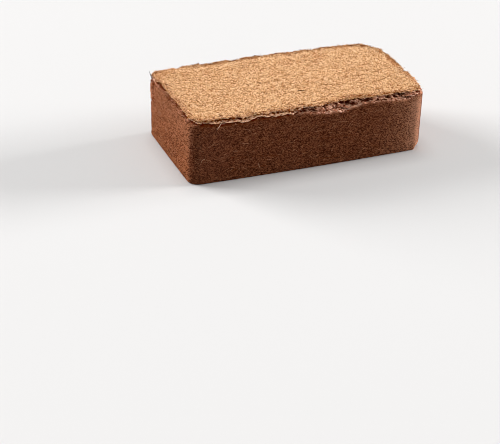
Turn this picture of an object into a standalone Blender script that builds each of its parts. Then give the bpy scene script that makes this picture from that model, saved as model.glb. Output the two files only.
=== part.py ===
"""A pressed block of coconut coir, lying flat on one of its two broad faces.

The block is one piece of compressed pith and short fibre. The press rubbed its four walls
smooth and they bulge a little. The broad face on top is a loose crust with a ragged edge:
it stands out as a thin lip in some places, and has flaked back to a ledge in others.

Metres. +X runs along the length, +Y to the back, +Z up. The origin is the centre of the base.
"""

import bmesh
import bpy
import numpy as np

MM = 0.001

# Driving dimensions
LENGTH = 0.200
WIDTH = 0.103
HEIGHT = 0.054

# Plan of the walls, seen from above: corner radii, and how far each side bulges in the middle
FRONT_LEFT_RADIUS = 0.009
FRONT_RIGHT_RADIUS = 0.009
BACK_RIGHT_RADIUS = 0.022
BACK_LEFT_RADIUS = 0.008
LONG_SIDE_BULGE = 0.0015
END_BULGE = 0.0004

# Base edge, and the bottom corner that is worn away
BASE_SET_IN = 0.0016
BASE_ROUND_HEIGHT = 0.0022
CHIP_START = 0.192  # tape readings, see RIM_MM
CHIP_END = 0.212
CHIP_DEPTH = 0.0042
CHIP_HEIGHT = 0.0065

# Crust on the top face
CRUST_THICKNESS = 0.0018
CROWN = 0.0007
LUMP_HEIGHT = 0.0004
LUMP_SIZE = 0.016
LIP_ROUND = 0.0009

# The rim, read with a tape round the block from the front left corner: front side first, then
# right end, back and left end. Each row is the reading, how far the crust's edge is set back
# from the wall, and how far below the top the smooth wall ends, all in millimetres.
RIM_MM = [
    (4, 1.8, 3.2), (14, 1.4, 2.5), (27, 1.2, 3.6), (38, 0.6, 4.2), (49, 2.0, 3.8),
    (60, 1.5, 3.2), (73, 1.8, 3.8), (84, 3.8, 4.6), (98, 3.4, 4.0), (108, 4.8, 5.0),
    (118, 5.8, 7.2), (134, 5.6, 8.2), (149, 4.2, 7.8), (161, 3.8, 6.8), (170, 3.0, 6.4),
    (178, 3.2, 7.6), (188, 1.2, 7.0), (196, 1.0, 5.6), (217, 2.2, 5.0), (236, 3.0, 4.0),
    (262, 0.8, 4.6), (284, 2.6, 6.0), (302, 2.2, 5.4), (322, 1.2, 4.0), (350, 0.5, 3.0),
    (383, 0.8, 3.2), (410, 1.4, 5.2), (432, 2.4, 7.4), (449, 3.4, 6.4), (467, 0.6, 3.4),
    (481, 2.0, 4.2), (503, 1.2, 5.6), (520, 0.5, 5.0), (529, 0.6, 4.4), (541, 1.4, 3.0),
    (553, 2.0, 2.8), (567, 2.2, 2.6), (578, 2.0, 2.6), (589, 1.0, 2.8), (599, 0.9, 3.4),
]  # fmt: skip
RIM_SOFTENING = 0.004  # rows are blended over this much tape either way
LEAST_SET_BACK = 0.0004

# The broken band between the smooth wall and the crust: a low ledge, a high one and a groove
SHOULDER_ROUND = 0.0010
SHOULDER_HEIGHT = 0.0022
LOW_LEDGE = 0.40  # how far each ledge reaches, as a share of the crust's set-back
HIGH_LEDGE = 0.80
LOW_LEDGE_FOOT, LOW_LEDGE_TOP = 0.10, 0.45  # heights, as shares of the band's height
HIGH_LEDGE_FOOT, GROOVE_LEVEL = 0.55, 0.88
LEDGE_SLOPE = 0.0003
GROOVE_DEPTH = 0.0020
GROOVE_SIZE = 0.026
RAGGEDNESS = 0.0004
BROKEN_RAGGEDNESS = 0.10  # more raggedness where the band is tall, as a share of its height
RAGGED_SIZE = 0.008

# Low relief of the walls
WALL_RELIEF = 0.00035
WALL_RELIEF_SIZE = 0.022

# Fineness of the mesh
STRAIGHT_SPACING = 0.0037
CORNER_STEPS = 7
WALL_RINGS = 6
TOP_RINGS = 9
INNERMOST = 0.93  # share of the way from the rim to the spine at which the top is closed
SPINE_HALF_LENGTH = (LENGTH - WIDTH) / 2
TAPE_LENGTH = 2 * (LENGTH + WIDTH)

NODE_NAME = "coir_block"
COLLECTION_NAME = "coir_brick"


def plan_corners():
    """Centre, radius and first angle of each rounded corner, with its tape reading."""
    half_length = LENGTH / 2
    half_width = WIDTH / 2
    front_right = (half_length, -half_width, FRONT_RIGHT_RADIUS, -90, LENGTH)
    back_right = (half_length, half_width, BACK_RIGHT_RADIUS, 0, LENGTH + WIDTH)
    back_left = (-half_length, half_width, BACK_LEFT_RADIUS, 90, 2 * LENGTH + WIDTH)
    front_left = (-half_length, -half_width, FRONT_LEFT_RADIUS, 180, TAPE_LENGTH)
    corners = []
    for x, y, radius, angle, reading in (front_right, back_right, back_left, front_left):
        centre = np.array([x - np.sign(x) * radius, y - np.sign(y) * radius])
        corners.append((centre, radius, np.radians(angle), reading))
    return corners


def plan_outline():
    """Points, outward normals and tape readings round the plan of the walls, anticlockwise.

    Each corner is a quarter circle of equal steps. The straight side before it is divided
    into steps of nearly the same length.
    """
    corners = plan_corners()
    points = []
    normals = []
    readings = []
    for index, (centre, radius, angle, reading) in enumerate(corners):
        last_centre, last_radius, _, last_reading = corners[index - 1]
        normal = np.array([np.cos(angle), np.sin(angle)])
        start = last_centre + last_radius * normal
        end = centre + radius * normal
        first = last_reading % TAPE_LENGTH + last_radius
        last = reading - radius
        steps = int(np.ceil(np.linalg.norm(end - start) / STRAIGHT_SPACING))
        for share in np.arange(1, steps) / steps:
            points.append(start + (end - start) * share)
            normals.append(normal)
            readings.append(first + (last - first) * share)
        for share in np.arange(CORNER_STEPS + 1) / CORNER_STEPS:
            turned = angle + share * np.pi / 2
            direction = np.array([np.cos(turned), np.sin(turned)])
            points.append(centre + radius * direction)
            normals.append(direction)
            readings.append(last + 2 * radius * share)
    return np.array(points), np.array(normals), np.array(readings) % TAPE_LENGTH


def ease(share):
    """A share from 0 to 1 with level ends."""
    return share * share * (3 - 2 * share)


def tape_noise(readings, size, seed):
    """Smooth noise from -1 to 1 round the block, with bumps of about the given size."""
    knots = int(round(TAPE_LENGTH / size))
    values = np.random.default_rng(seed).uniform(-1, 1, knots)
    position = readings / TAPE_LENGTH * knots
    knot = np.floor(position).astype(int)
    share = ease(position - knot)
    return values[knot % knots] * (1 - share) + values[(knot + 1) % knots] * share


def top_noise(x, y, size, seed):
    """Smooth noise from -1 to 1 over the top face, with lumps of about the given size."""
    cells = int(np.ceil(LENGTH / size)) + 2
    values = np.random.default_rng(seed).uniform(-1, 1, (cells, cells))
    across = (x + LENGTH / 2) / size
    along = (y + LENGTH / 2) / size
    i = np.floor(across).astype(int)
    j = np.floor(along).astype(int)
    u = ease(across - i)
    v = ease(along - j)
    near = values[i, j] * (1 - u) + values[i + 1, j] * u
    far = values[i, j + 1] * (1 - u) + values[i + 1, j + 1] * u
    return near * (1 - v) + far * v


def rim_column(readings, column):
    """One column of RIM_MM at each tape reading, in metres, blended so that rows leave no kinks."""
    rows = np.array(RIM_MM) * MM
    knots = np.concatenate([rows[:, 0] - TAPE_LENGTH, rows[:, 0], rows[:, 0] + TAPE_LENGTH])
    values = np.tile(rows[:, column], 3)
    offsets = np.linspace(-RIM_SOFTENING, RIM_SOFTENING, 5)
    return np.mean([np.interp(readings + offset, knots, values) for offset in offsets], axis=0)


def bulge_inset(points, normals):
    """How far a wall falls behind its fullest line, by the square of the way to its ends."""
    along_length = (points[:, 0] / (LENGTH / 2)) ** 2 * np.abs(normals[:, 1])
    along_width = (points[:, 1] / (WIDTH / 2)) ** 2 * np.abs(normals[:, 0])
    return LONG_SIDE_BULGE * along_length + END_BULGE * along_width


def chip(readings):
    """From 0 to 1, how much of the bottom corner is worn away at each tape reading."""
    middle = (CHIP_START + CHIP_END) / 2
    half = (CHIP_END - CHIP_START) / 2
    return ease(np.clip(1.5 - 1.5 * np.abs(readings - middle) / half, 0, 1))


def wall_rings(bulge, readings):
    """Inset and height of each ring of the walls, from the base up to the smooth wall's end."""
    worn = chip(readings)
    set_in = BASE_SET_IN + CHIP_DEPTH * worn
    round_height = BASE_ROUND_HEIGHT + (CHIP_HEIGHT - BASE_ROUND_HEIGHT) * worn
    wall_top = HEIGHT - CROWN - rim_column(readings, 2)
    rings = [
        (bulge + set_in, 0 * readings),
        (bulge + 0.35 * set_in, 0.35 * round_height),
        (bulge, round_height),
    ]
    lowest = CHIP_HEIGHT + BASE_ROUND_HEIGHT
    for ring in range(WALL_RINGS):
        share = ring / (WALL_RINGS - 1)
        height = lowest + (wall_top - SHOULDER_HEIGHT - lowest) * share
        relief = WALL_RELIEF * (1 + tape_noise(readings, WALL_RELIEF_SIZE, 10 + ring))
        rings.append((bulge + relief, height))
    rings.append((bulge + SHOULDER_ROUND, wall_top))
    return rings


def rim_rings(bulge, readings):
    """Inset and height of each ring of the rim: two flaked ledges, the groove, the crust's lip.

    The groove under the lip opens and closes along the rim. A tall broken band is rougher.
    """
    drop = rim_column(readings, 2)
    thickness = np.minimum(CRUST_THICKNESS, drop - 0.4 * CRUST_THICKNESS)
    wall_top = HEIGHT - CROWN - drop
    under_crust = HEIGHT - CROWN - thickness
    band = under_crust - wall_top
    raggedness = RAGGEDNESS + BROKEN_RAGGEDNESS * band
    edge = rim_column(readings, 1) + RAGGEDNESS * tape_noise(readings, RAGGED_SIZE, 3)
    edge = np.maximum(edge, LEAST_SET_BACK)
    low = SHOULDER_ROUND + LOW_LEDGE * edge + raggedness * tape_noise(readings, RAGGED_SIZE, 4)
    low = np.maximum(low, 0.8 * SHOULDER_ROUND)
    high = SHOULDER_ROUND + HIGH_LEDGE * edge + raggedness * tape_noise(readings, RAGGED_SIZE, 5)
    high = np.maximum(high, SHOULDER_ROUND)
    opened = np.clip(0.55 + 0.9 * tape_noise(readings, GROOVE_SIZE, 6), 0.1, 1.0)
    groove = np.maximum(edge, high) + GROOVE_DEPTH * opened
    return [
        (bulge + low, wall_top + LOW_LEDGE_FOOT * band),
        (bulge + low + LEDGE_SLOPE, wall_top + LOW_LEDGE_TOP * band),
        (bulge + high, wall_top + HIGH_LEDGE_FOOT * band),
        (bulge + groove, wall_top + GROOVE_LEVEL * band),
        (bulge + edge, under_crust),
        (bulge + edge - 0.2 * LIP_ROUND, under_crust + 0.6 * thickness),
        (bulge + edge + LIP_ROUND, under_crust + thickness),
    ]


def top_rings(rim):
    """Rings from the crust's edge in to the spine, a line along the middle of the top face.

    Each point runs straight to the nearest point of the spine. The face is crowned, and
    carries low lumps that fade out at the rim. The innermost ring is level.
    """
    spine = np.zeros((len(rim), 2))
    spine[:, 0] = np.clip(rim[:, 0], -SPINE_HALF_LENGTH, SPINE_HALF_LENGTH)
    rings = []
    for ring in range(1, TOP_RINGS):
        share = INNERMOST * (ring / TOP_RINGS) ** 1.15
        flat = rim[:, :2] * (1 - share) + spine * share
        crown = CROWN * (1 - (1 - share) ** 3)
        lumps = LUMP_HEIGHT * (top_noise(flat[:, 0], flat[:, 1], LUMP_SIZE, 7) - 1)
        rings.append(np.column_stack([flat, HEIGHT - CROWN + crown + lumps * share]))
    flat = rim[:, :2] * (1 - INNERMOST) + spine * INNERMOST
    level = np.full(len(rim), HEIGHT - 0.5 * LUMP_HEIGHT)
    rings.append(np.column_stack([flat, level]))
    return rings


def block_rings():
    """Every ring of the block as points in space, from the base's edge to the innermost on top."""
    points, normals, readings = plan_outline()
    bulge = bulge_inset(points, normals)
    rings = []
    for inset, height in wall_rings(bulge, readings) + rim_rings(bulge, readings):
        rings.append(np.column_stack([points - normals * inset[:, None], height]))
    return rings + top_rings(rings[-1])


def place_face(face, ring):
    """Moves a face's corners to a ring's points."""
    for vertex, place in zip(face.verts, ring):
        vertex.co = place


def extrude_through(rings):
    """A closed mesh: the base's flat face, and a cap extruded from it through ring after ring."""
    mesh = bmesh.new()
    base = bmesh.ops.create_circle(mesh, cap_ends=True, segments=len(rings[0]), radius=LENGTH)
    bottom = base["verts"][0].link_faces[0]
    place_face(bottom, rings[0])
    cap = bottom
    for ring in rings[1:]:
        raised = bmesh.ops.extrude_face_region(mesh, geom=[cap])["geom"]
        if cap is not bottom:
            bmesh.ops.delete(mesh, geom=[cap], context="FACES_ONLY")
        cap = next(part for part in raised if isinstance(part, bmesh.types.BMFace))
        place_face(cap, ring)
    bmesh.ops.recalc_face_normals(mesh, faces=mesh.faces)
    return mesh


def pressed_coir():
    """The block's material: dry brown coir, matt."""
    material = bpy.data.materials.new("pressed_coir")
    material.use_nodes = True
    shader = material.node_tree.nodes["Principled BSDF"]
    shader.inputs["Base Color"].default_value = (0.30, 0.15, 0.075, 1)
    shader.inputs["Roughness"].default_value = 0.85
    shader.inputs["Metallic"].default_value = 0.0
    return material


def clear_scene():
    """Removes the scene's objects."""
    for thing in list(bpy.data.objects):
        bpy.data.objects.remove(thing, do_unlink=True)


def build_block():
    """The block as one object, in the collection named for it."""
    solid = extrude_through(block_rings())
    mesh = bpy.data.meshes.new(NODE_NAME)
    solid.to_mesh(mesh)
    solid.free()
    mesh.materials.append(pressed_coir())
    mesh.shade_smooth()
    mesh.set_sharp_from_angle(angle=np.radians(40))
    collection = bpy.data.collections.new(COLLECTION_NAME)
    bpy.context.scene.collection.children.link(collection)
    collection.objects.link(bpy.data.objects.new(NODE_NAME, mesh))


clear_scene()
build_block()
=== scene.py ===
"""The looks of a pressed block of coconut coir: sandy crust, dark smooth walls, ragged rim.

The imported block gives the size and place. This script lays the visible surface over it: walls
and crust as fine relief, then grains of pith, short fibres and a few stray long ones.
"""

import bpy
import numpy as np
from mathutils import Matrix, Vector


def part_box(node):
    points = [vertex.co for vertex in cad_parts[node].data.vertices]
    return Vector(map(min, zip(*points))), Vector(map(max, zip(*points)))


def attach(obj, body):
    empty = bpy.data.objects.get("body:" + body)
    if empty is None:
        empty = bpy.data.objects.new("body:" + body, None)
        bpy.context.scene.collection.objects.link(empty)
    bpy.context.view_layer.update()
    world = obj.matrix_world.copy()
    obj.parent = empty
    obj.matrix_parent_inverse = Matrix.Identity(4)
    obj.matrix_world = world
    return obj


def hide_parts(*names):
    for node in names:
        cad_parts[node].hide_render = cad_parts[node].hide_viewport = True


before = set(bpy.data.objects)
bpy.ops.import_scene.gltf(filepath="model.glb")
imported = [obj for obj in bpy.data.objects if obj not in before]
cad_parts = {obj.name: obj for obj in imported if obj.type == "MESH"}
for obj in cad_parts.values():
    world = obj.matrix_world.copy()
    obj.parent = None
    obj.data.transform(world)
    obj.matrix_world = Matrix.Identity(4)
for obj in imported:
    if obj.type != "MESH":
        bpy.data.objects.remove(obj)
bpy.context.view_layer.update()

MM = 0.001
NODE = "coir_block"

# Driving sizes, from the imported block
low_corner, high_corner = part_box(NODE)
LENGTH = high_corner[0] - low_corner[0]
WIDTH = high_corner[1] - low_corner[1]
HEIGHT = high_corner[2]
TAPE_LENGTH = 2 * (LENGTH + WIDTH)

# Places on the tape, which runs round the block from the front left corner, front side first
RIGHT_END = LENGTH + WIDTH / 2
LEFT_END = TAPE_LENGTH - WIDTH / 2
CRUMBLY_CORNER = 2 * LENGTH + WIDTH

# Plan of the walls, as the block is built
CORNER_RADII = {"front_right": 0.009, "back_right": 0.022, "back_left": 0.008, "front_left": 0.009}
CORNER_SIGNS = {"front_right": (1, -1), "back_right": (1, 1), "back_left": (-1, 1), "front_left": (-1, -1)}
LONG_SIDE_BULGE = 0.0015
END_BULGE = 0.0004

# Base edge and the worn bottom corner
BASE_SET_IN = 0.0016
BASE_ROUND_HEIGHT = 0.0022
CHIP_START, CHIP_END = 0.192, 0.212
CHIP_DEPTH = 0.0042
CHIP_HEIGHT = 0.0065

# Crust
CROWN = 0.0007
LIP_ROUND = 0.0009

# The rim: tape reading, set-back of the crust, the crust's thickness, and the drop to the smooth
# wall, in millimetres
RIM_MM = [
    (4, 2.6, 2.0, 2.8), (14, 1.6, 2.4, 3.2), (20, 1.0, 3.0, 3.8), (27, 0.7, 3.4, 4.4),
    (33, 0.5, 3.7, 4.8), (38, 0.3, 4.0, 5.0), (43, 0.2, 4.8, 6.0), (47, 0.3, 4.0, 5.0),
    (50, 0.8, 2.6, 3.6), (57, 0.8, 2.4, 3.4), (61, 0.6, 2.6, 3.6), (65, 0.4, 3.6, 4.6),
    (76, 0.4, 3.6, 4.6), (81, 0.4, 3.8, 4.8), (85, 0.4, 4.4, 5.4), (88, 1.0, 3.0, 4.6),
    (91, 2.8, 1.6, 4.6), (94, 4.6, 1.4, 4.6), (97, 2.6, 1.4, 5.0), (101, 1.0, 1.4, 6.2),
    (107, 1.2, 1.4, 6.8), (110, 2.2, 1.4, 7.4), (113, 3.8, 1.4, 7.8), (116, 5.0, 1.4, 7.8),
    (119, 2.6, 1.4, 7.8), (123, 4.8, 1.4, 8.2), (128, 6.2, 1.4, 8.0), (132, 6.6, 1.4, 7.0),
    (139, 7.0, 1.4, 5.6), (142, 5.8, 1.4, 4.6), (146, 5.4, 1.4, 4.2), (150, 3.6, 1.4, 4.0),
    (154, 3.2, 1.4, 4.4), (157, 4.2, 1.4, 4.6), (161, 3.0, 1.4, 4.6), (166, 2.0, 1.4, 5.4),
    (171, 4.2, 1.4, 6.2), (177, 4.6, 1.4, 6.6), (182, 2.8, 1.4, 6.8), (187, 2.4, 1.0, 6.6),
    (190, 2.4, 0.8, 5.0), (196, 2.8, 0.8, 4.8), (204, 2.6, 1.2, 4.4), (212, 2.4, 1.8, 4.4),
    (219, 1.2, 1.8, 4.8), (229, 0.2, 1.8, 4.6), (239, 2.4, 1.8, 4.0), (246, 1.4, 1.8, 4.2),
    (253, 0.3, 1.8, 4.4), (266, 0.3, 1.8, 4.6), (284, 1.2, 1.8, 6.0), (302, 1.4, 1.8, 5.4),
    (322, 0.9, 1.8, 4.0), (350, 0.5, 1.8, 3.0), (383, 0.6, 1.8, 3.2), (410, 0.6, 1.8, 5.2),
    (432, 1.0, 1.8, 7.4), (449, 1.8, 1.8, 6.4), (467, 0.6, 1.8, 3.4), (481, 1.2, 1.8, 4.2),
    (503, 0.8, 1.8, 5.6), (513, 0.8, 1.8, 5.0), (519, 1.8, 1.8, 4.6), (525, 3.3, 1.8, 4.0),
    (531, 3.6, 1.8, 3.6), (541, 3.1, 1.8, 3.6), (553, 3.3, 1.8, 3.6), (563, 3.9, 1.8, 3.6),
    (571, 3.6, 1.8, 3.6), (581, 3.0, 1.8, 3.6), (588, 2.7, 1.8, 3.8), (593, 3.2, 1.8, 4.0),
    (598, 4.2, 1.8, 4.2), (603, 3.4, 1.8, 4.2),
]  # fmt: skip
RIM_SOFTENING = 0.0014
LEAST_SET_BACK = 0.0002
SHOULDER_ROUND = 0.0010
SHOULDER_HEIGHT = 0.0022
LEAST_BAND = 0.0007

# Where the groove under the crust gapes: tape at both ends, height of the gap, in millimetres
GAPS_MM = [
    (0, 9, 1.0), (11, 20, 0.7), (50, 54, 0.8), (58, 64, 0.9), (91, 98, 1.3), (99, 103, 1.5),
    (109, 112, 1.5), (113, 117, 1.1), (118, 122, 2.0), (124, 135, 2.9), (136, 139, 1.5),
    (140, 143, 1.5), (146, 149, 1.0), (156, 159, 0.8), (163, 168, 1.6), (170, 173, 0.8),
    (174, 182, 2.4), (188, 197, 1.3), (531, 538, 1.3), (543, 556, 1.4), (559, 575, 1.4),
    (579, 588, 1.4), (592, 604, 1.6),
]  # fmt: skip

# Dark cracks in the broken band: tape and drop below the rim at both ends, in millimetres
CRACKS_MM = [
    (90, 4.2, 95, 4.4), (97, 2.8, 103, 4.5), (109, 3.2, 112, 4.5), (116, 5.4, 122, 3.2),
    (129, 4.2, 138, 5.0), (141, 2.0, 145, 3.2), (144, 3.0, 149, 3.6), (147, 2.2, 152, 2.9),
    (154, 3.6, 158, 4.0), (160, 4.0, 164, 4.4), (164, 2.8, 168, 3.4), (170, 3.8, 175, 4.4),
    (183, 5.2, 187, 4.4),
]  # fmt: skip
CRACK_HALF_HEIGHT = 0.00075
CRACK_DEPTH = 0.0028

# Thin seams pressed into the front: tape at both ends, height at both ends, in millimetres
SEAMS_MM = [(22, 84, 21.0, 14.5), (30, 66, 9.0, 8.0), (96, 150, 7.0, 6.0), (104, 140, 24.0, 23.0)]
SEAM_HALF_HEIGHT = 0.00045

# Where the walls are rubbed smooth: tape reading, reach and strength
RUBBED_PLACES = [
    (-0.0045, 0.0040, 0.35),
    (0.0175, 0.0200, 0.38),
    (LENGTH - 0.0030, 0.0125, 1.0),
    (LENGTH + WIDTH, 0.0160, 0.6),
]
RUBBED_LOW, RUBBED_HIGH = 0.002, 0.048
RUBBED_FADE = 0.004

# Where the front's lip lies in two plies: the middle of the stretch, its reach, and its soft ends
PLIES_MIDDLE, PLIES_REACH, PLIES_FADE = 0.044, 0.056, 0.014
TORN_FROM = 0.085

# Relief and wear of the walls: depth of the relief, the crumbly corner, and the painted shadow under the
# lip
MEAN_RELIEF = 0.00026
CRUMBLY_REACH = 0.013
CRUMBLY_LOW, CRUMBLY_FULL = 0.012, 0.046
LIP_SHADOW_REACH = 0.0023
LIP_SHADOW_TO = 0.096

# Crust near its edge: how far in the wear and the bumps reach, and the droop of its front right corner
EDGE_WEAR = 0.005
EDGE_BUMPS = 0.010
DROOP_REACH = 0.010
DROOP_MM = 0.6

# The middle line that the rows of the two broad faces close in on
SPINE_HALF_LENGTH = (LENGTH - WIDTH) / 2

# How far loose fibres may stand out past the block
PAST_ENDS, PAST_SIDES, PAST_TOP = 0.0040, 0.0020, 0.0011


# Noise, all of it seeded


def ease(share):
    """A share from 0 to 1 with level ends: three squares less two cubes."""
    return share * share * (3 - 2 * share)


def tape_noise(reading, size, seed):
    """Smooth noise from -1 to 1 round the block: random knots, eased from each to the next."""
    knots = int(round(TAPE_LENGTH / size))
    values = np.random.default_rng(seed).uniform(-1, 1, knots)
    position = reading / TAPE_LENGTH * knots
    knot = np.floor(position).astype(int)
    share = ease(position - knot)
    return values[knot % knots] * (1 - share) + values[(knot + 1) % knots] * share


def sheet_noise(u, v, seed, wrap=(512, 512)):
    """Smooth noise from -1 to 1 over a plane: random values at whole u and v, eased between."""
    values = np.random.default_rng(seed).uniform(-1, 1, wrap)
    i = np.floor(u).astype(int)
    j = np.floor(v).astype(int)
    across = ease(u - i)
    along = ease(v - j)
    i0, i1 = i % wrap[0], (i + 1) % wrap[0]
    j0, j1 = j % wrap[1], (j + 1) % wrap[1]
    near = values[i0, j0] * (1 - across) + values[i1, j0] * across
    far = values[i0, j1] * (1 - across) + values[i1, j1] * across
    return near * (1 - along) + far * along


def wall_noise(reading, height, along, up, seed):
    """Noise on the unrolled walls, in patches of the given size along the tape and up the wall."""
    columns = int(round(TAPE_LENGTH / along))
    return sheet_noise(reading / TAPE_LENGTH * columns, height / up, seed, (columns, 256))


def flat_noise(x, y, size, seed):
    """Noise over the broad faces, in lumps of the given size."""
    return sheet_noise((x + LENGTH) / size, (y + LENGTH) / size, seed)


def grain_bumps(x, y, size, seed):
    """Packed grains: from 1 on a grain's middle to 0 between grains, by distance to the nearest.

    One middle lies at a random place in each square of the given size, and each point looks at
    the nine squares round its own.
    """
    cells = 512
    shift = np.random.default_rng(seed).uniform(0, 1, (cells, cells, 2))
    u = (x + LENGTH) / size
    v = (y + LENGTH) / size
    i = np.floor(u).astype(int)
    j = np.floor(v).astype(int)
    nearest = np.full(np.shape(u), 9.0)
    for di in (-1, 0, 1):
        for dj in (-1, 0, 1):
            middle = shift[(i + di) % cells, (j + dj) % cells]
            gap_u = i + di + middle[..., 0] - u
            gap_v = j + dj + middle[..., 1] - v
            nearest = np.minimum(nearest, gap_u**2 + gap_v**2)
    return np.clip(1 - 1.3 * nearest, 0, 1)


def layered(noise, place, *layers):
    """A sum of one kind of noise. Each layer is its strength, then its sizes, then its seed."""
    return sum(strength * noise(*place, *rest) for strength, *rest in layers)


# The block's plan and rim


def plan_walk(count):
    """Evenly spaced points round the plan, with their outward normals and tape readings.

    Each side is a straight run, and each corner a quarter circle. A corner's tape reading runs
    evenly over its arc, so that the tape measures the square-cornered plan.
    """
    half_length = LENGTH / 2
    half_width = WIDTH / 2
    corners = [
        (-half_length, -half_width, CORNER_RADII["front_left"], 180, 0),
        (half_length, -half_width, CORNER_RADII["front_right"], 270, LENGTH),
        (half_length, half_width, CORNER_RADII["back_right"], 0, LENGTH + WIDTH),
        (-half_length, half_width, CORNER_RADII["back_left"], 90, 2 * LENGTH + WIDTH),
        (-half_length, -half_width, CORNER_RADII["front_left"], 180, TAPE_LENGTH),
    ]
    pieces = []
    walked = 0
    for (x0, y0, r0, _, tape0), (x1, y1, r1, turn, tape1) in zip(corners, corners[1:]):
        centre0 = np.array([x0 - np.sign(x0) * r0, y0 - np.sign(y0) * r0])
        centre1 = np.array([x1 - np.sign(x1) * r1, y1 - np.sign(y1) * r1])
        angle = np.radians(turn)
        normal = np.array([np.cos(angle), np.sin(angle)])
        start = centre0 + r0 * normal
        run = np.linalg.norm(centre1 + r1 * normal - start)
        arc = r1 * np.pi / 2
        pieces.append((walked, run, start, centre1, r1, angle, tape0 + r0, tape1 - r1, tape1 + r1))
        walked += run + arc
    distance = np.arange(count) / count * walked
    points = np.zeros((count, 2))
    normals = np.zeros((count, 2))
    reading = np.zeros(count)
    for begin, run, start, centre, radius, angle, tape_a, tape_b, tape_c in pieces:
        arc = radius * np.pi / 2
        on_run = (distance >= begin) & (distance < begin + run)
        share = (distance[on_run] - begin) / run
        normal = np.array([np.cos(angle), np.sin(angle)])
        end = centre + radius * normal
        points[on_run] = start + share[:, None] * (end - start)
        normals[on_run] = normal
        reading[on_run] = tape_a + share * (tape_b - tape_a)
        on_arc = (distance >= begin + run) & (distance < begin + run + arc)
        share = (distance[on_arc] - begin - run) / arc
        turned = angle + share * np.pi / 2
        facing = np.stack([np.cos(turned), np.sin(turned)], -1)
        points[on_arc] = centre + radius * facing
        normals[on_arc] = facing
        reading[on_arc] = tape_b + share * (tape_c - tape_b)
    return points, normals, reading % TAPE_LENGTH


def rim_column(reading, column):
    """One column of RIM_MM at each reading, in metres, averaged over a short stretch of tape."""
    rows = np.array(RIM_MM) * MM
    knots = np.concatenate([rows[:, 0] - TAPE_LENGTH, rows[:, 0], rows[:, 0] + TAPE_LENGTH])
    values = np.tile(rows[:, column], 3)
    offsets = np.linspace(-RIM_SOFTENING, RIM_SOFTENING, 5)
    return np.mean([np.interp(reading + offset, knots, values) for offset in offsets], axis=0)


def bulge_inset(points, normals):
    """How far a wall falls behind its fullest line, by the square of the way to its ends."""
    along_length = (points[:, 0] / (LENGTH / 2)) ** 2 * np.abs(normals[:, 1])
    along_width = (points[:, 1] / (WIDTH / 2)) ** 2 * np.abs(normals[:, 0])
    return LONG_SIDE_BULGE * along_length + END_BULGE * along_width


def chip(reading):
    """From 0 to 1, how much of the bottom corner is worn away at each reading."""
    middle = (CHIP_START + CHIP_END) / 2
    half = (CHIP_END - CHIP_START) / 2
    return ease(np.clip(1.5 - 1.5 * np.abs(reading - middle) / half, 0, 1))


def tape_gap(reading, centre):
    """Distance along the tape to a reading, the shorter way round."""
    gap = np.abs(reading - centre) % TAPE_LENGTH
    return np.minimum(gap, TAPE_LENGTH - gap)


def within(reading, middle, reach, fade):
    """1 on a stretch of tape and 0 past its reach, easing over the last of it, the fade."""
    return ease(np.clip((reach - tape_gap(reading, middle)) / fade, 0, 1))


def gaping(reading):
    """How high the groove under the crust stands open, in millimetres: chance, and the known gaps."""
    front = np.clip(0.35 + 0.5 * tape_noise(reading, 0.006, 40), 0.1, 0.8)
    elsewhere = np.clip(0.45 + 1.1 * tape_noise(reading, 0.026, 6), 0.05, 1.3)
    opened = np.where(reading < LENGTH, front, elsewhere)
    for start, end, height in GAPS_MM:
        middle = (start + end) / 2 * MM
        half = (end - start) / 2 * MM
        share = ease(np.clip(1.6 - 1.3 * np.abs(reading - middle) / half, 0, 1))
        opened = np.maximum(opened, height * share)
    return opened * (0.72 + 0.28 * tape_noise(reading, 0.0017, 61))


def crust_edge(reading):
    """How far the crust's edge is set back from the wall: the rim's table, ragged at four sizes."""
    coarse = layered(tape_noise, [reading], (0.30, 0.008, 3), (0.50, 0.0034, 31))
    fine = layered(tape_noise, [reading], (0.45, 0.0016, 32), (0.20, 0.0008, 33))
    return np.maximum(rim_column(reading, 1) + (coarse + fine) * MM, LEAST_SET_BACK)


def two_plies(reading):
    """From 0 to 1, how far the crust's edge is parted in two: here and there, and on the left."""
    chance = np.clip(0.15 + 0.9 * tape_noise(reading, 0.021, 37), 0, 1)
    on_front = (reading < LENGTH) * np.where(reading > TORN_FROM, 0.3, 1)
    on_left_end = within(reading, LEFT_END, WIDTH / 2 + 0.004, 0.010)
    known = within(reading, PLIES_MIDDLE, PLIES_REACH, PLIES_FADE)
    return np.maximum(chance * on_front * (1 - on_left_end), known)


def top_height(x, y):
    """Height of the crust without its grain: a low crown, with lumps and faint dents."""
    crown = CROWN * (1 - (2 * x / LENGTH) ** 6) * (1 - (2 * y / WIDTH) ** 4)
    lumps = layered(flat_noise, [x, y], (0.22, 0.016, 7), (0.16, 0.0065, 8))
    return HEIGHT - CROWN + crown + (lumps - 0.30) * MM


def spine_points(rim):
    """Where a broad face's rows close in from each rim point: the nearest place on its middle line."""
    spine = np.zeros((len(rim), 2))
    spine[:, 0] = np.clip(rim[:, 0], -SPINE_HALF_LENGTH, SPINE_HALF_LENGTH)
    return spine


# Meshes


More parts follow.
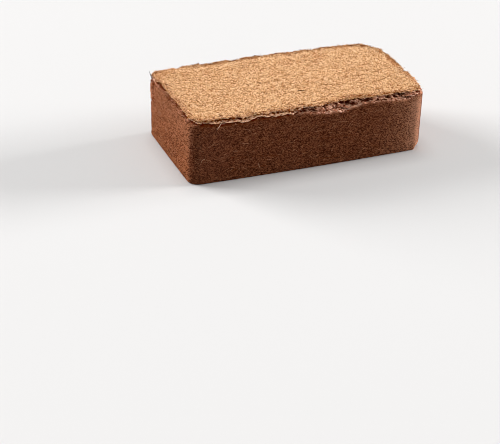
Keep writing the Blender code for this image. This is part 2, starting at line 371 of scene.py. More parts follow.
def mesh_object(name, vertices, faces, corner_maps, shades):
    """A mesh object from whole arrays. Every face has the same number of corners.

    corner_maps gives UV maps as one pair for each face corner. shades gives numbers from 0 to 1
    as point attributes.
    """
    mesh = bpy.data.meshes.new(name)
    faces = np.asarray(faces, dtype=np.int32)
    sides = faces.shape[1]
    mesh.vertices.add(len(vertices))
    mesh.vertices.foreach_set("co", np.asarray(vertices, dtype=np.float32).ravel())
    mesh.loops.add(faces.size)
    mesh.loops.foreach_set("vertex_index", faces.ravel())
    mesh.polygons.add(len(faces))
    mesh.polygons.foreach_set("loop_start", np.arange(len(faces), dtype=np.int32) * sides)
    mesh.update(calc_edges=True)
    for label, pairs in corner_maps.items():
        layer = mesh.uv_layers.new(name=label)
        layer.uv.foreach_set("vector", np.asarray(pairs, dtype=np.float32).ravel())
    for label, values in shades.items():
        attribute = mesh.attributes.new(label, "FLOAT", "POINT")
        attribute.data.foreach_set("value", np.asarray(values, dtype=np.float32).ravel())
    mesh.polygons.foreach_set("use_smooth", np.full(len(faces), True))
    mesh.validate()
    piece = bpy.data.objects.new(name, mesh)
    bpy.context.scene.collection.objects.link(piece)
    return piece


def grid_faces(rows, columns, closed):
    """Corner numbers of a grid's squares, row by row.

    A closed grid joins its last column to its first.
    """
    across = columns if closed else columns - 1
    row, column = np.meshgrid(np.arange(rows - 1), np.arange(across), indexing="ij")
    beside = (column + 1) % columns
    corners = [row * columns + column, row * columns + beside]
    corners += [(row + 1) * columns + beside, (row + 1) * columns + column]
    return np.stack(corners, -1).reshape(-1, 4)


def dress(piece, material):
    """Gives a piece its finish in a material slot, ties it to the block's body, and hides the imported
    block.
    """
    piece.data.materials.append(material)
    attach(piece, "root")
    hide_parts(NODE)
    return piece


# Shader expressions


class Signal:
    """A shader socket in a Python expression. Each operator adds the Math node that it names."""

    def __init__(self, finish, socket):
        self.finish = finish
        self.socket = socket

    def __add__(self, other):
        return self.finish.maths("ADD", self, other)

    def __sub__(self, other):
        return self.finish.maths("SUBTRACT", self, other)

    def __rsub__(self, other):
        return self.finish.maths("SUBTRACT", other, self)

    def __mul__(self, other):
        return self.finish.maths("MULTIPLY", self, other)

    def __pow__(self, other):
        return self.finish.maths("POWER", self, other)

    __radd__ = __add__
    __rmul__ = __mul__


class Finish:
    """A material that is built up from expressions, ending in one Principled shader."""

    def __init__(self, name, **constants):
        self.material = bpy.data.materials.new(name)
        self.material.use_nodes = True
        self.tree = self.material.node_tree
        self.shader = self.tree.nodes["Principled BSDF"]
        for socket, value in constants.items():
            self.shader.inputs[socket.replace("_", " ")].default_value = value

    def node(self, kind, settings, inputs, output=0):
        """Adds a node: its settings first, then the values or links of its sockets."""
        made = self.tree.nodes.new(kind)
        for name, value in settings.items():
            setattr(made, name, value)
        for key, value in inputs.items():
            if isinstance(value, Signal):
                self.tree.links.new(value.socket, made.inputs[key])
            else:
                made.inputs[key].default_value = value
        return Signal(self, made.outputs[output])

    def maths(self, operation, first, second):
        """A Math node on two numbers."""
        return self.node("ShaderNodeMath", {"operation": operation}, {0: first, 1: second})

    def mix(self, share, first, second, way="MIX"):
        """Two colours mixed by a share, in one of the Mix node's ways."""
        settings = {"data_type": "RGBA", "blend_type": way}
        return self.node("ShaderNodeMix", settings, {0: share, 6: first, 7: second}, 2)

    def step(self, value, start, end):
        """From 0 at start to 1 at end, with level ends."""
        settings = {"interpolation_type": "SMOOTHSTEP"}
        return self.node("ShaderNodeMapRange", settings, {"Value": value, 1: start, 2: end})

    def shade(self, name):
        """A point attribute of the piece."""
        settings = {"attribute_name": name}
        return self.node("ShaderNodeAttribute", settings, {}, 2)

    def place(self):
        """Object coordinates, in metres."""
        return self.node("ShaderNodeTexCoord", {}, {}, 3)

    def stretched(self, where, scale):
        """Coordinates multiplied axis by axis."""
        settings = {"operation": "MULTIPLY"}
        return self.node("ShaderNodeVectorMath", settings, {0: where, 1: scale})

    def noise(self, where, scale, detail=2.0, roughness=0.55):
        """Soft noise from 0 to 1. The scale is in lumps to the metre."""
        inputs = {"Vector": where, "Scale": scale, "Detail": detail, "Roughness": roughness}
        return self.node("ShaderNodeTexNoise", {}, inputs)

    def cells(self, where, scale, output):
        """Voronoi cells: output 0 is the distance to a cell's middle, 1 its random colour."""
        return self.node("ShaderNodeTexVoronoi", {}, {"Vector": where, "Scale": scale}, output)

    def red(self, colour):
        """The red part of a colour, as a number."""
        return self.node("ShaderNodeSeparateColor", {}, {"Color": colour})

    def set(self, socket, value):
        """Links a value to one of the shader's own sockets."""
        self.tree.links.new(value.socket, self.shader.inputs[socket])

    def bump(self, height, distance):
        """Roughens the surface. A height of 1 stands for the given distance, in metres."""
        inputs = {"Height": height, "Distance": distance, "Strength": 1.0}
        self.set("Normal", self.node("ShaderNodeBump", {}, inputs))


# Colours of the crust and the walls
SANDY = (0.695, 0.358, 0.149, 1)
SANDY_DEEP = (0.20, 0.047, 0.005, 1)
SANDY_PALE = (0.91, 0.61, 0.365, 1)
RUSTY = (0.50, 0.19, 0.062, 1)
WALL_BROWN = (0.145, 0.0435, 0.0190, 1)
WALL_DEEP = (0.032, 0.0056, 0.0007, 1)
WALL_FLECK = (0.33, 0.125, 0.058, 1)
# Partly sandy pith, partly painted light on the left end
SAND_AND_LIGHT_WALL = (0.345, 0.120, 0.055, 1)
SANDED_DEEP = (0.030, 0.005, 0.0004, 1)
# Painted light: the wall's paler colour near the front right corner and high on the left end
PAINTED_LIGHT_WALL = (0.42, 0.188, 0.106, 1)
BROKEN_BROWN = (0.68, 0.290, 0.162, 1)
# The next two darken the walls' hollows as painted shade; the first is also the darkest tone of broken
# pith.
BROKEN_DEEP = (0.085, 0.006, 0.0004, 1)
CAVITY_SHADE_WALL = (0.125, 0.030, 0.006, 1)
# Partly dusty, partly a painted highlight on the broken band's up-facing ledges
DUST_AND_HIGHLIGHT = (0.98, 0.62, 0.43, 1)
# Painted shade for the crust's gaps under the lip and in the seam, which also colours darker flecks on top
# near the edge.
GAP_SHADE_AND_FLECK = (0.27, 0.062, 0.008, 1)
TORN_PALE = (0.99, 0.64, 0.45, 1)
TORN_DEEP = (0.74, 0.29, 0.13, 1)
# Painted shade: the darkest of the crust's gaps, under the lip and in the seam.
GAP_DARK = (0.16, 0.009, 0.0005, 1)

# Finishes of fibres and grains: a pale, a middle and a dark colour each
FIBRE_COLOURS = {
    "coir_fibre": ((0.86, 0.54, 0.275, 1), (0.58, 0.295, 0.12, 1), (0.22, 0.052, 0.006, 1)),
    "pith_grain": ((0.82, 0.48, 0.24, 1), (0.52, 0.24, 0.10, 1), (0.24, 0.060, 0.007, 1)),
    "wall_fibre": ((0.40, 0.185, 0.10, 1), (0.17, 0.058, 0.026, 1), (0.05, 0.012, 0.004, 1)),
    "rim_crumb": ((0.80, 0.43, 0.285, 1), (0.44, 0.180, 0.100, 1), (0.14, 0.020, 0.003, 1)),
    "rim_flake": ((0.96, 0.60, 0.44, 1), (0.54, 0.22, 0.125, 1), (0.14, 0.018, 0.003, 1)),
    "dark_strand": ((0.30, 0.085, 0.014, 1), (0.19, 0.036, 0.003, 1), (0.11, 0.008, 0.0005, 1)),
    "edge_fuzz": ((0.72, 0.44, 0.20, 1), (0.48, 0.24, 0.10, 1), (0.20, 0.075, 0.026, 1)),
    "stray": ((0.95, 0.66, 0.46, 1), (0.40, 0.18, 0.09, 1), (0.030, 0.012, 0.007, 1)),
}


def crust_finish():
    """Loose pith and fibre: sandy grains that differ one by one, with painted shade in the gaps between."""
    finish = Finish("sandy_crust", Roughness=0.95, Specular_IOR_Level=0)
    where = finish.stretched(finish.place(), (1.35, 0.95, 1.0))
    grain = finish.red(finish.cells(where, 950.0, 1))
    speck = finish.red(finish.cells(where, 1600.0, 1))
    fine = finish.noise(where, 1300.0)
    patch = finish.noise(where, 60.0, 3.0)
    relief = finish.shade("relief")
    # Painted shade: a low relief attribute, between the grains, darkens the tone.
    tone = grain * 0.48 + speck * 0.46 + relief * 0.36 + fine * 0.95 - 0.635
    colour = finish.mix(finish.step(tone, 0.18, 0.54), SANDY_DEEP, SANDY)
    colour = finish.mix(finish.step(tone, 0.45, 0.80), colour, SANDY_PALE)
    rust = finish.shade("rust") + finish.step(patch, 0.52, 0.72) * 0.22
    colour = finish.mix(finish.step(rust + speck * 0.3 - 0.15, 0.0, 1.0), colour, RUSTY)
    torn = finish.mix(finish.step(tone, 0.2, 0.7), TORN_DEEP, TORN_PALE)
    colour = finish.mix(finish.shade("torn") * 0.9, colour, torn)
    gap = finish.shade("gap")
    # Painted shade under the lip and in the seam, and the fringe's darker flecks, by the gap attribute.
    colour = finish.mix(finish.step(gap, 0.15, 0.7), colour, GAP_SHADE_AND_FLECK)
    colour = finish.mix(finish.step(gap, 0.75, 0.95), colour, GAP_DARK)
    finish.set("Base Color", colour)
    finish.bump(fine + grain * 0.6, 0.00035)
    return finish.material


def wall_finish():
    """Rubbed pith: dark fine grain drawn out level, sandy in places, paler where broken, with painted shade
    and light.
    """
    finish = Finish("pressed_wall", Specular_IOR_Level=0, Coat_Roughness=0.38, Coat_IOR=1.5)
    where = finish.place()
    level = finish.stretched(where, (1.35, 1.0, 2.6))
    grain = finish.noise(level, 640.0, 1.0, 0.8)
    fleck = finish.red(finish.cells(level, 720.0, 1))
    speck = finish.red(finish.cells(level, 1000.0, 1))
    fine = finish.noise(level, 1300.0, 1.0)
    patch = finish.noise(where, 55.0, 3.0)
    broken = finish.shade("broken")
    sand_and_light = finish.shade("sand_and_light")
    polish = finish.shade("polish")
    relief = finish.shade("relief")
    # The sandy colour carries painted light too: the left end paler, and paler higher up.
    rubbed = finish.mix(sand_and_light, WALL_BROWN, SAND_AND_LIGHT_WALL)
    # Painted light: paler towards the front right corner and high on the left end.
    rubbed = finish.mix(finish.shade("painted_light"), rubbed, PAINTED_LIGHT_WALL)
    # The relief attribute adds a little painted shade to the tone as well.
    tone = grain * 0.95 + fine * 1.12 + speck * 0.62 - 0.895 - patch * 0.03 + relief * 0.08
    tone = tone + (tone - 0.5) * sand_and_light * 0.7
    tone = tone * (1 - polish * 0.7) + polish * 0.40
    deep = finish.mix(sand_and_light, WALL_DEEP, SANDED_DEEP)
    colour = finish.mix(finish.step(tone, 0.38, 0.62), deep, rubbed)
    pale = finish.step(tone, 0.62, 0.85) * 0.5 + finish.step(fleck, 0.82, 0.90) * 0.38
    colour = finish.mix(pale * (1 - polish * 0.6), colour, WALL_FLECK)
    crumbled = finish.mix(finish.step(tone, 0.28, 0.55), BROKEN_DEEP, BROKEN_BROWN)
    # Partly dusty, partly a painted highlight on the up-facing ledges of the broken band.
    crumbled = finish.mix(finish.shade("dust_and_highlight"), crumbled, DUST_AND_HIGHLIGHT)
    colour = finish.mix(broken, colour, crumbled)
    # Painted shade where the relief attribute is low: pits, seams, cracks, the groove, the crumbly corner's
    # dents and under the lip.
    colour = finish.mix((1 - finish.step(relief, 0.2, 0.95)) * 0.8, colour, CAVITY_SHADE_WALL)
    colour = finish.mix(1 - finish.step(relief, 0.0, 0.5), colour, BROKEN_DEEP)
    finish.set("Base Color", colour)
    finish.set("Roughness", 0.72 + broken * 0.2)
    finish.set("Coat Weight", polish**2 * 0.3)
    finish.bump((grain + fine * 0.6) * (1 - polish * 0.7), 0.0004)
    return finish.material


def fibre_finish(name, pale, middle, dark):
    """Fibre or grain: each has its own shade, from pale at 0 through a middle colour to dark at 1."""
    finish = Finish(name, Roughness=0.9, Specular_IOR_Level=0)
    shade = finish.shade("shade")
    colour = finish.mix(finish.step(shade, 0.0, 0.55), pale, middle)
    finish.set("Base Color", finish.mix(finish.step(shade, 0.45, 1.0), colour, dark))
    return finish.material


# Walls

WALL_COLUMNS = 1232
EDGE_ROWS = 7
WALL_ROWS = 66
SHOULDER_ROWS = 6
BAND_ROWS = 46
LAMINAE = 3
STRIPS_MEET = LEFT_END - 0.030
PLAN_POINTS, PLAN_NORMALS, PLAN_READING = plan_walk(WALL_COLUMNS)
PLAN_BULGE = bulge_inset(PLAN_POINTS, PLAN_NORMALS)


def wall_levels(reading):
    """Height of the smooth wall's ragged top, of the broken band's top, and of the crust's underside."""
    drop = rim_column(reading, 3)
    ragged = layered(tape_noise, [reading], (0.40, 0.0045, 41), (0.28, 0.0017, 42))
    wall_top = HEIGHT - CROWN - drop + ragged * MM
    under = HEIGHT - CROWN - np.minimum(rim_column(reading, 2), drop - LEAST_BAND)
    gap = np.minimum((0.12 + gaping(reading)) * MM, 0.8 * (under - wall_top))
    return wall_top, under - gap, under


def smooth_wall(reading):
    """Insets and heights from the base edge up the smooth wall and over its rounded shoulder.

    The edge and the shoulder are quarter ellipses.
    """
    worn = chip(reading)
    set_in = BASE_SET_IN + CHIP_DEPTH * worn
    round_height = BASE_ROUND_HEIGHT + (CHIP_HEIGHT - BASE_ROUND_HEIGHT) * worn
    shoulder = wall_levels(reading)[0] - SHOULDER_HEIGHT
    rows = []
    for turn in np.linspace(0, np.pi / 2, EDGE_ROWS):
        rows.append((set_in * (1 - np.sin(turn)), round_height * (1 - np.cos(turn))))
    for share in np.linspace(0, 1, WALL_ROWS + 1)[1:]:
        rows.append((0 * reading, round_height + (shoulder - round_height) * share))
    for turn in np.linspace(0, np.pi / 2, SHOULDER_ROWS + 1)[1:]:
        inset = SHOULDER_ROUND * (1 - np.cos(turn)) + 0 * reading
        rows.append((inset, shoulder + SHOULDER_HEIGHT * np.sin(turn)))
    return rows


def laminae(reading, rise, tall, whole, fullness):
    """Inset of the broken band's staircase of laminae, and its cracks from 0 to 1.

    The inset is a sum of smooth steps, one at each lamina's wandering level, that comes to the
    whole inset at the top. Just over each step lies a half-round crack.
    """
    weights = []
    for k in range(LAMINAE):
        weights.append(np.clip(0.25 + 0.24 * tape_noise(reading, 0.012, 50 + k), 0.03, 1))
    total = np.sum(weights, axis=0)
    inset = 0 * rise
    crack = 0 * rise
    for k in range(LAMINAE):
        wander = layered(tape_noise, [reading], (0.42, 0.015, 80 + k), (0.24, 0.005, 90 + k))
        wander = wander + 0.10 * tape_noise(reading, 0.0016, 95 + k)
        over = rise - (k + 0.4 + wander) / LAMINAE * tall
        inset = inset + weights[k] / total * whole * ease(np.clip(over / (0.3 * MM) + 0.5, 0, 1))
        opening = (0.46 + 0.26 * tape_noise(reading, 0.006, 110 + k)) * tall / LAMINAE + 0.1 * MM
        section = np.sqrt(np.clip(1 - (2 * (over - 0.1 * MM) / opening - 1) ** 2, 0, 1))
        depth = np.clip(1.5 * tape_noise(reading, 0.009, 100 + k) + 0.2, 0, 1) * fullness
        crack = np.maximum(crack, depth * section)
    return inset, crack


def known_cracks(reading, height):
    """The cracks of CRACKS_MM, from 0 to 1: half-round in section, wandering, with tapered ends."""
    crack = 0 * height
    for start, drop_start, end, drop_end in np.array(CRACKS_MM) * MM:
        along = (reading - start) / (end - start)
        level = HEIGHT - CROWN - drop_start + (drop_start - drop_end) * along
        level = level + 0.35 * MM * tape_noise(reading, 0.0018, 99)
        ends = np.clip(5 * along + 0.5, 0, 1) * np.clip(5.5 - 5 * along, 0, 1)
        section = np.sqrt(np.clip(1 - ((height - level) / CRACK_HALF_HEIGHT) ** 2, 0, 1))
        crack = np.maximum(crack, ends * section)
    return crack


def broken_band(reading):
    """Insets, heights and cavities up the broken band, and on in under the crust.

    The inset is the laminae's, plus cracks, plus rubble. The cavity is 0 deep in a crack and 1
    on a face.
    """
    wall_top, top, under = wall_levels(reading)
    tall = top - wall_top
    share = np.linspace(0, 1, BAND_ROWS)[:, None]
    rise = share * tall
    fullness = np.clip(tall / (3.5 * MM), 0, 1)
    whole = 0.92 * np.maximum(crust_edge(reading) - SHOULDER_ROUND, 0)
    inset, crack = laminae(reading, rise, tall, whole, fullness)
    crack = np.maximum(crack, known_cracks(reading, wall_top + rise))
    rubble = layered(wall_noise, [reading, rise], (0.55, 0.0045, 0.0018, 120), (0.26, 0.0016, 0.0009, 121))
    rubble = rubble + 0.14 * wall_noise(reading, rise, 0.0010, 0.0005, 122)
    rubble = rubble * MM * (0.35 + 0.65 * fullness) * ease(np.clip(share / 0.12, 0, 1))
    inset = SHOULDER_ROUND + inset + CRACK_DEPTH * crack + rubble
    rows = [(np.maximum(back, 0.2 * MM), wall_top + up) for back, up in zip(inset, rise)]
    groove = np.maximum(crust_edge(reading), inset[-1])
    groove = groove + (0.5 + np.minimum(gaping(reading), 1.4)) * MM
    for part in (0.4, 0.8, 1.0):
        rows.append((inset[-1] + (groove - inset[-1]) * part, top + 0.10 * MM * part))
    rows.append((groove + 1.2 * MM, under - 0.05 * MM))
    # Painted shade: the cracks and the groove's rows get a low cavity, which the walls' finish paints dark.
    in_groove = np.array([0.5, 0.1, 0, 0])[:, None] + 0 * reading
    return rows, np.concatenate([1 - crack, in_groove])


def wall_relief(reading, height, broken, polish):
    """Depth of the fine relief, and the cavity that it makes: waves, level grain, pits and seams."""
    place = [reading, height]
    waves = layered(wall_noise, place, (0.12, 0.022, 0.016, 11), (0.04, 0.007, 0.005, 12))
    grain = layered(wall_noise, place, (0.07, 0.0024, 0.0011, 13), (0.07, 0.0015, 0.0009, 14))
    pits = wall_noise(reading, height, 0.0034, 0.0016, 15) * wall_noise(reading, height, 0.011, 0.009, 16)
    pits = 0.16 * np.clip(pits * 2.4 - 0.45, 0, 1)
    seams = 0 * height
    for start, end, low, high in np.array(SEAMS_MM) * MM:
        share = (reading - start) / (end - start)
        level = low + (high - low) * share + 0.25 * MM * tape_noise(reading, 0.006, 43)
        ends = np.clip(6 * share, 0, 1) * np.clip(6 - 6 * share, 0, 1)
        seams = np.maximum(seams, 0.30 * ends * np.exp(-(((height - level) / SEAM_HALF_HEIGHT) ** 2)))
    rough = (1 - 0.8 * polish) * (1 + 0.8 * broken)
    depth = waves + grain * rough + (pits + seams) * (1 - 0.7 * polish)
    # The cavity is painted shade: low in pits, seams and grain, where the walls' finish darkens the colour.
    cavity = 1 - np.clip(1.8 * pits + 2.0 * seams + 2.0 * np.maximum(grain, 0), 0, 1)
    return MEAN_RELIEF + depth * MM, cavity


def crumbling(reading, height):
    """From 0 to 1, how far the back left corner crumbles: most at the top."""
    upwards = ease(np.clip((height - CRUMBLY_LOW) / (CRUMBLY_FULL - CRUMBLY_LOW), 0, 1))
    return upwards * np.exp(-((tape_gap(reading, CRUMBLY_CORNER) / CRUMBLY_REACH) ** 2))


def breakage(reading, crumbly, band_start):
    """From 0 to 1, how broken the wall is: on the band, the crumbly corner and the worn one."""
    wall_top, band_top, _ = wall_levels(reading)
    wide_band = np.clip((band_top - wall_top) / (2.4 * MM), 0.15, 1)
    broken = np.zeros(crumbly.shape)
    broken[band_start:] = wide_band
    over_shoulder = np.linspace(0, 0.75, SHOULDER_ROWS)[:, None]
    broken[band_start - SHOULDER_ROWS : band_start] = over_shoulder * wide_band
    broken = broken * (1 - 0.55 * within(reading, LEFT_END, WIDTH / 2, 0.006))
    broken = np.clip(np.maximum(broken, crumbly), 0, 1)
    broken[:EDGE_ROWS] = np.maximum(broken[:EDGE_ROWS], 0.35 * chip(reading))
    return broken


def painted_lip_shadow(reading, height):
    """From 0 to 1, how much painted shadow darkens the wall straight under the lip: most on the front's
    left.
    """
    from_corner = ease(np.clip((reading + 0.002) / 0.018, 0, 1))
    on_left = from_corner * ease(np.clip((LIP_SHADOW_TO - reading) / 0.012, 0, 1))
    strength = np.where(reading < LENGTH, np.maximum(0.95 * on_left, 0.10), 0.30)
    below = np.maximum(wall_levels(reading)[1] - height, 0)
    blotches = 0.8 + 0.6 * wall_noise(reading, height, 0.0024, 0.0012, 47)
    return np.clip(1.15 * np.exp(-((below / LIP_SHADOW_REACH) ** 2)) * strength * blotches, 0, 1)


def dust_and_highlight_share(reading, height, inset, cavity, broken):
    """From 0 to 1, how pale what faces up is where the wall is broken: partly dusty, partly a painted
    highlight.
    """
    run = np.abs(np.gradient(inset, axis=0))
    climb = np.abs(np.gradient(height, axis=0)) + 1e-6
    dust_and_highlight = ease(np.clip(1.6 * run / (run + climb) - 0.35, 0, 1)) * broken * np.clip(2 * cavity - 1, 0, 1)
    return dust_and_highlight * (0.75 + 0.25 * wall_noise(reading, height, 0.0018, 0.0012, 46))


def painted_light_share(reading, height):
    """From 0 to 1, how much painted light pales the wall: towards the front right corner, and high on the
    left end.
    """
    past_corner = reading - LENGTH + 0.0025
    at_corner = np.exp(-((past_corner / np.where(past_corner < 0, 0.026, 0.0028)) ** 2))
    on_left_end = within(reading, LEFT_END, WIDTH / 2 + 0.002, 0.008)
    return np.maximum(at_corner, 0.62 * on_left_end * np.clip(1.4 * height / HEIGHT - 0.5, 0, 1))


def polished(reading, height):
    """From 0 to 1, how far the wall is rubbed smooth, on the corners and near them."""
    rubbed = 0 * reading
    for corner, reach, strength in RUBBED_PLACES:
        rubbed = np.maximum(rubbed, strength * np.exp(-((tape_gap(reading, corner) / reach) ** 4)))
    above = ease(np.clip((height - RUBBED_LOW) / RUBBED_FADE, 0, 1))
    below = ease(np.clip((RUBBED_HIGH - height) / RUBBED_FADE, 0, 1))
    return rubbed * above * below


def sand_and_light_share(reading, height):
    """From 0 to 1, how much loose sandy pith clings to the wall, most on the left end, with painted light
    that pales it and grows higher up.
    """
    left = within(reading, LEFT_END, WIDTH / 2 - 0.004, 0.004)
    right = within(reading, RIGHT_END, WIDTH / 2 - 0.010, 0.004)
    return np.maximum(left, 0.30 * right) * (0.78 + 0.22 * height / HEIGHT)


def make_walls():
    """Two strips of wall, front with left end and back with right end, each a grid of tape by height.

    A point is the plan's point moved in along its normal by the row's inset plus the relief.
    Returns the whole grid of points, its cavities, and the row where the broken band starts.
    """
    smooth = smooth_wall(PLAN_READING)
    band, band_cavity = broken_band(PLAN_READING)
    band_start = len(smooth)
    inset = PLAN_BULGE + np.stack([row[0] for row in smooth + band])
    height = np.stack([row[1] for row in smooth + band])
    reading = np.broadcast_to(PLAN_READING, inset.shape)
    crumbly = crumbling(reading, height)
    broken = breakage(PLAN_READING, crumbly, band_start)
    polish = polished(reading, height)
    depth, cavity = wall_relief(reading, height, broken, polish)
    lumps = layered(wall_noise, [reading, height], (1.6, 0.0060, 0.0046, 44), (1.0, 0.0030, 0.0022, 45))
    lumps = lumps * crumbly
    inset = inset + depth * ease(np.clip(height / (2 * MM), 0, 1)) + lumps * MM
    # Painted shade in the crumbly corner's dents, and a darker tone over the whole corner.
    cavity = cavity * (1 - np.clip(1.6 * lumps + 0.60 * crumbly, 0, 0.72))
    cavity[band_start:] = band_cavity
    # Painted shadow straight under the lip, laid into the cavity that the walls' finish darkens.
    cavity = cavity * (1 - painted_lip_shadow(reading, height))
    points = PLAN_POINTS[None] - PLAN_NORMALS[None] * inset[..., None]
    grid = np.concatenate([points, np.maximum(height, 0)[..., None]], -1)
    shades = {
        "broken": broken,
        "relief": cavity,
        "sand_and_light": sand_and_light_share(reading, height),
        "polish": polish,
        "dust_and_highlight": dust_and_highlight_share(reading, height, inset, cavity, broken),
        "painted_light": painted_light_share(reading, height),
    }
    material = wall_finish()
    half = WALL_COLUMNS // 2
    start = int(np.argmin(tape_gap(PLAN_READING, STRIPS_MEET)))
    for name, first in (("front_wall", start), ("back_wall", start + half)):
        columns = (first + np.arange(half + 1)) % WALL_COLUMNS
        part = grid[:, columns]
        faces = grid_faces(len(grid), half + 1, False)
        steps = np.linalg.norm(np.diff(part, axis=0), axis=-1).mean(axis=1)
        maps = {"OFBake": folded_map(faces, half + 1, steps)}
        part_shades = {key: values[:, columns] for key, values in shades.items()}
        dress(mesh_object(name, part.reshape(-1, 3), faces, maps, part_shades), material)
    return grid, cavity, band_start


def folded_map(faces, columns, steps):
    """A map of a long strip, cut in half and stacked in two rows of the square, with a thin margin."""
    half = (columns - 1) // 2
    first = faces[:, 0] % columns
    upper = first >= half
    column = faces % columns
    row = faces // columns
    u = (column - np.where(upper, half, 0)[:, None]) / half
    climb = np.concatenate([[0], np.cumsum(steps)])
    v = climb[row] / climb[-1]
    margin = 0.004
    u = margin + u * (1 - 2 * margin)
    v = (v * (1 - 4 * margin) + 2 * margin + upper[:, None]) / 2
    return np.stack([u, v], -1).reshape(-1, 2)


# Crust

CRUST_COLUMNS = 900
CRUST_RINGS = 84
CRUST_POINTS, CRUST_NORMALS, CRUST_READING = plan_walk(CRUST_COLUMNS)


def crust_rows(points, normals, reading):
    """Rows of the crust's edge: in under the lip, then out and up over its two plies.

    The lower and upper ply are parted by a dark seam that opens in dashes.
    """
    bulge = bulge_inset(points, normals)
    edge = crust_edge(reading)
    hang = layered(tape_noise, [reading], (0.50, 0.0036, 20), (0.32, 0.0013, 21))
    under = wall_levels(reading)[2] - 0.1 * MM + hang * MM
    thickness = HEIGHT - CROWN - under
    parted = two_plies(reading)
    dashes = layered(tape_noise, [reading], (1.5, 0.0046, 22), (1.3, 0.0017, 23))
    seam = np.clip(0.6 * parted - 0.25 + dashes, 0, 1)
    lower_ply = edge + MM * layered(tape_noise, [reading], (0.45, 0.0026, 24), (0.25, 0.0011, 29))
    ledge = (0.15 + 1.9 * parted + 0.5 * tape_noise(reading, 0.0060, 30)) * MM
    upper_ply = lower_ply + ledge + 0.40 * MM * tape_noise(reading, 0.0030, 25)
    opened = 0.0002 + 0.0022 * seam
    low = 0.44 - 0.06 * parted
    high = low + 0.06 + 0.26 * parted * seam
    profile = [
        (edge + 0.0045, 0.0),
        (edge + 0.0012, 0.0),
        (lower_ply + 0.0003, 0.02),
        (lower_ply, 0.3 * low),
        (lower_ply, 0.7 * low),
        (lower_ply + 0.00025, 0.95 * low),
        (lower_ply + 0.6 * ledge, low),
        (upper_ply + opened, low + 0.01),
        (upper_ply + opened, high),
        (upper_ply + 0.00012, high + 0.02),
        (upper_ply, 0.6 * high + 0.4),
        (upper_ply + 0.00018, 0.3 * high + 0.7),
        (upper_ply + 0.0005, 0.1 * high + 0.9),
        (upper_ply + LIP_ROUND, 1.0),
    ]
    rows = []
    for inset, share in profile:
        flat = points - normals * (bulge + inset)[:, None]
        rows.append(np.column_stack([flat, under + share * thickness]))
    return rows, seam


def edge_lift(x, y, from_edge, far_side):
    """How far the crust stands up near its edge: bumps, most on the far side, less wear and droop.

    The bumps and the wear fall off with the square of the way in from the edge, and the droop of
    the front right corner as a bell.
    """
    wear = (0.10 + 0.10 * far_side) * (1 - np.clip(from_edge / EDGE_WEAR, 0, 1)) ** 2
    wear = wear * (1 + 0.5 * tape_noise(CRUST_READING, 0.007, 34))
    bumps = layered(tape_noise, [CRUST_READING], (0.6, 0.0045, 38), (0.4, 0.0018, 39))
    bumps = 0.15 * bumps + far_side * (1.25 + 0.50 * bumps)
    bumps = bumps * (1 - np.clip(from_edge / EDGE_BUMPS, 0, 1)) ** 2
    droop = DROOP_MM * np.exp(-((x - LENGTH / 2) ** 2 + (y + WIDTH / 2) ** 2) / DROOP_REACH**2)
    return (bumps - wear - droop) * MM


def edge_gaps(x, y, from_edge, far_side, seam):
    """From 0 to 1, how dark the gaps are: painted shade under the lip and in the seam, and darker flecks in
    a fringe on top.
    """
    row = np.arange(len(x))[:, None]
    gap = np.zeros(x.shape)
    # Painted shade on the rows under the lip, and in the seam where it opens in dashes.
    gap[:2] = 1
    gap[6:10] = np.array([0.55, 1, 1, 0.45])[:, None] * seam
    torn_side = ease(np.clip((x + 0.020) / 0.05, 0, 1))
    fringe = (1.4 + 0.8 * torn_side) * flat_noise(x, y, 0.0014, 49) + 0.6 * flat_noise(x, y, 0.0050, 51)
    fringe = np.clip(fringe + 0.15 * torn_side, 0, 1)
    fringe = fringe * np.clip(1.15 - from_edge / 0.0040, 0, 1) * (1 - far_side)
    return np.maximum(gap, 0.78 * fringe * (row > 8))


def rust_and_tears(x, y, from_edge, far_side, edge_rows):
    """How rusty and how freshly torn the crust is, each from 0 to 1, in streaks along the edge."""
    reading = CRUST_READING
    streaks = 0.3 + layered(tape_noise, [reading], (0.9, 0.0065, 47), (0.5, 0.0020, 48))
    streaks = np.clip(streaks, 0, 1)
    patches = np.clip(flat_noise(x, y, 0.009, 36) * 1.3 - 0.2, 0, 1)
    patches = patches * ease(np.clip((y - 0.018) / 0.02, 0, 1))
    rust = np.maximum(0.9 * streaks * far_side * np.clip(1.3 - from_edge / 0.0040, 0, 1), 0.5 * patches)
    rust = np.maximum(rust, 0.65 * np.exp(-((x + LENGTH / 2) ** 2 + (y - 0.044) ** 2) / 0.011**2))
    rust[:edge_rows] = 0.40 + 0.30 * far_side[:edge_rows] * streaks
    torn = np.clip(1 - from_edge / 0.0022, 0, 1) * (0.35 + 0.5 * streaks)
    torn[:edge_rows] = np.where(np.arange(edge_rows) < 6, 1.0, 0.35)[:, None] * (0.75 + 0.25 * streaks)
    at_corner = np.exp(-((tape_gap(reading, LENGTH + 0.004) / 0.008) ** 2))
    return rust, torn * (1 - 0.7 * far_side) * (1 - 0.7 * at_corner)


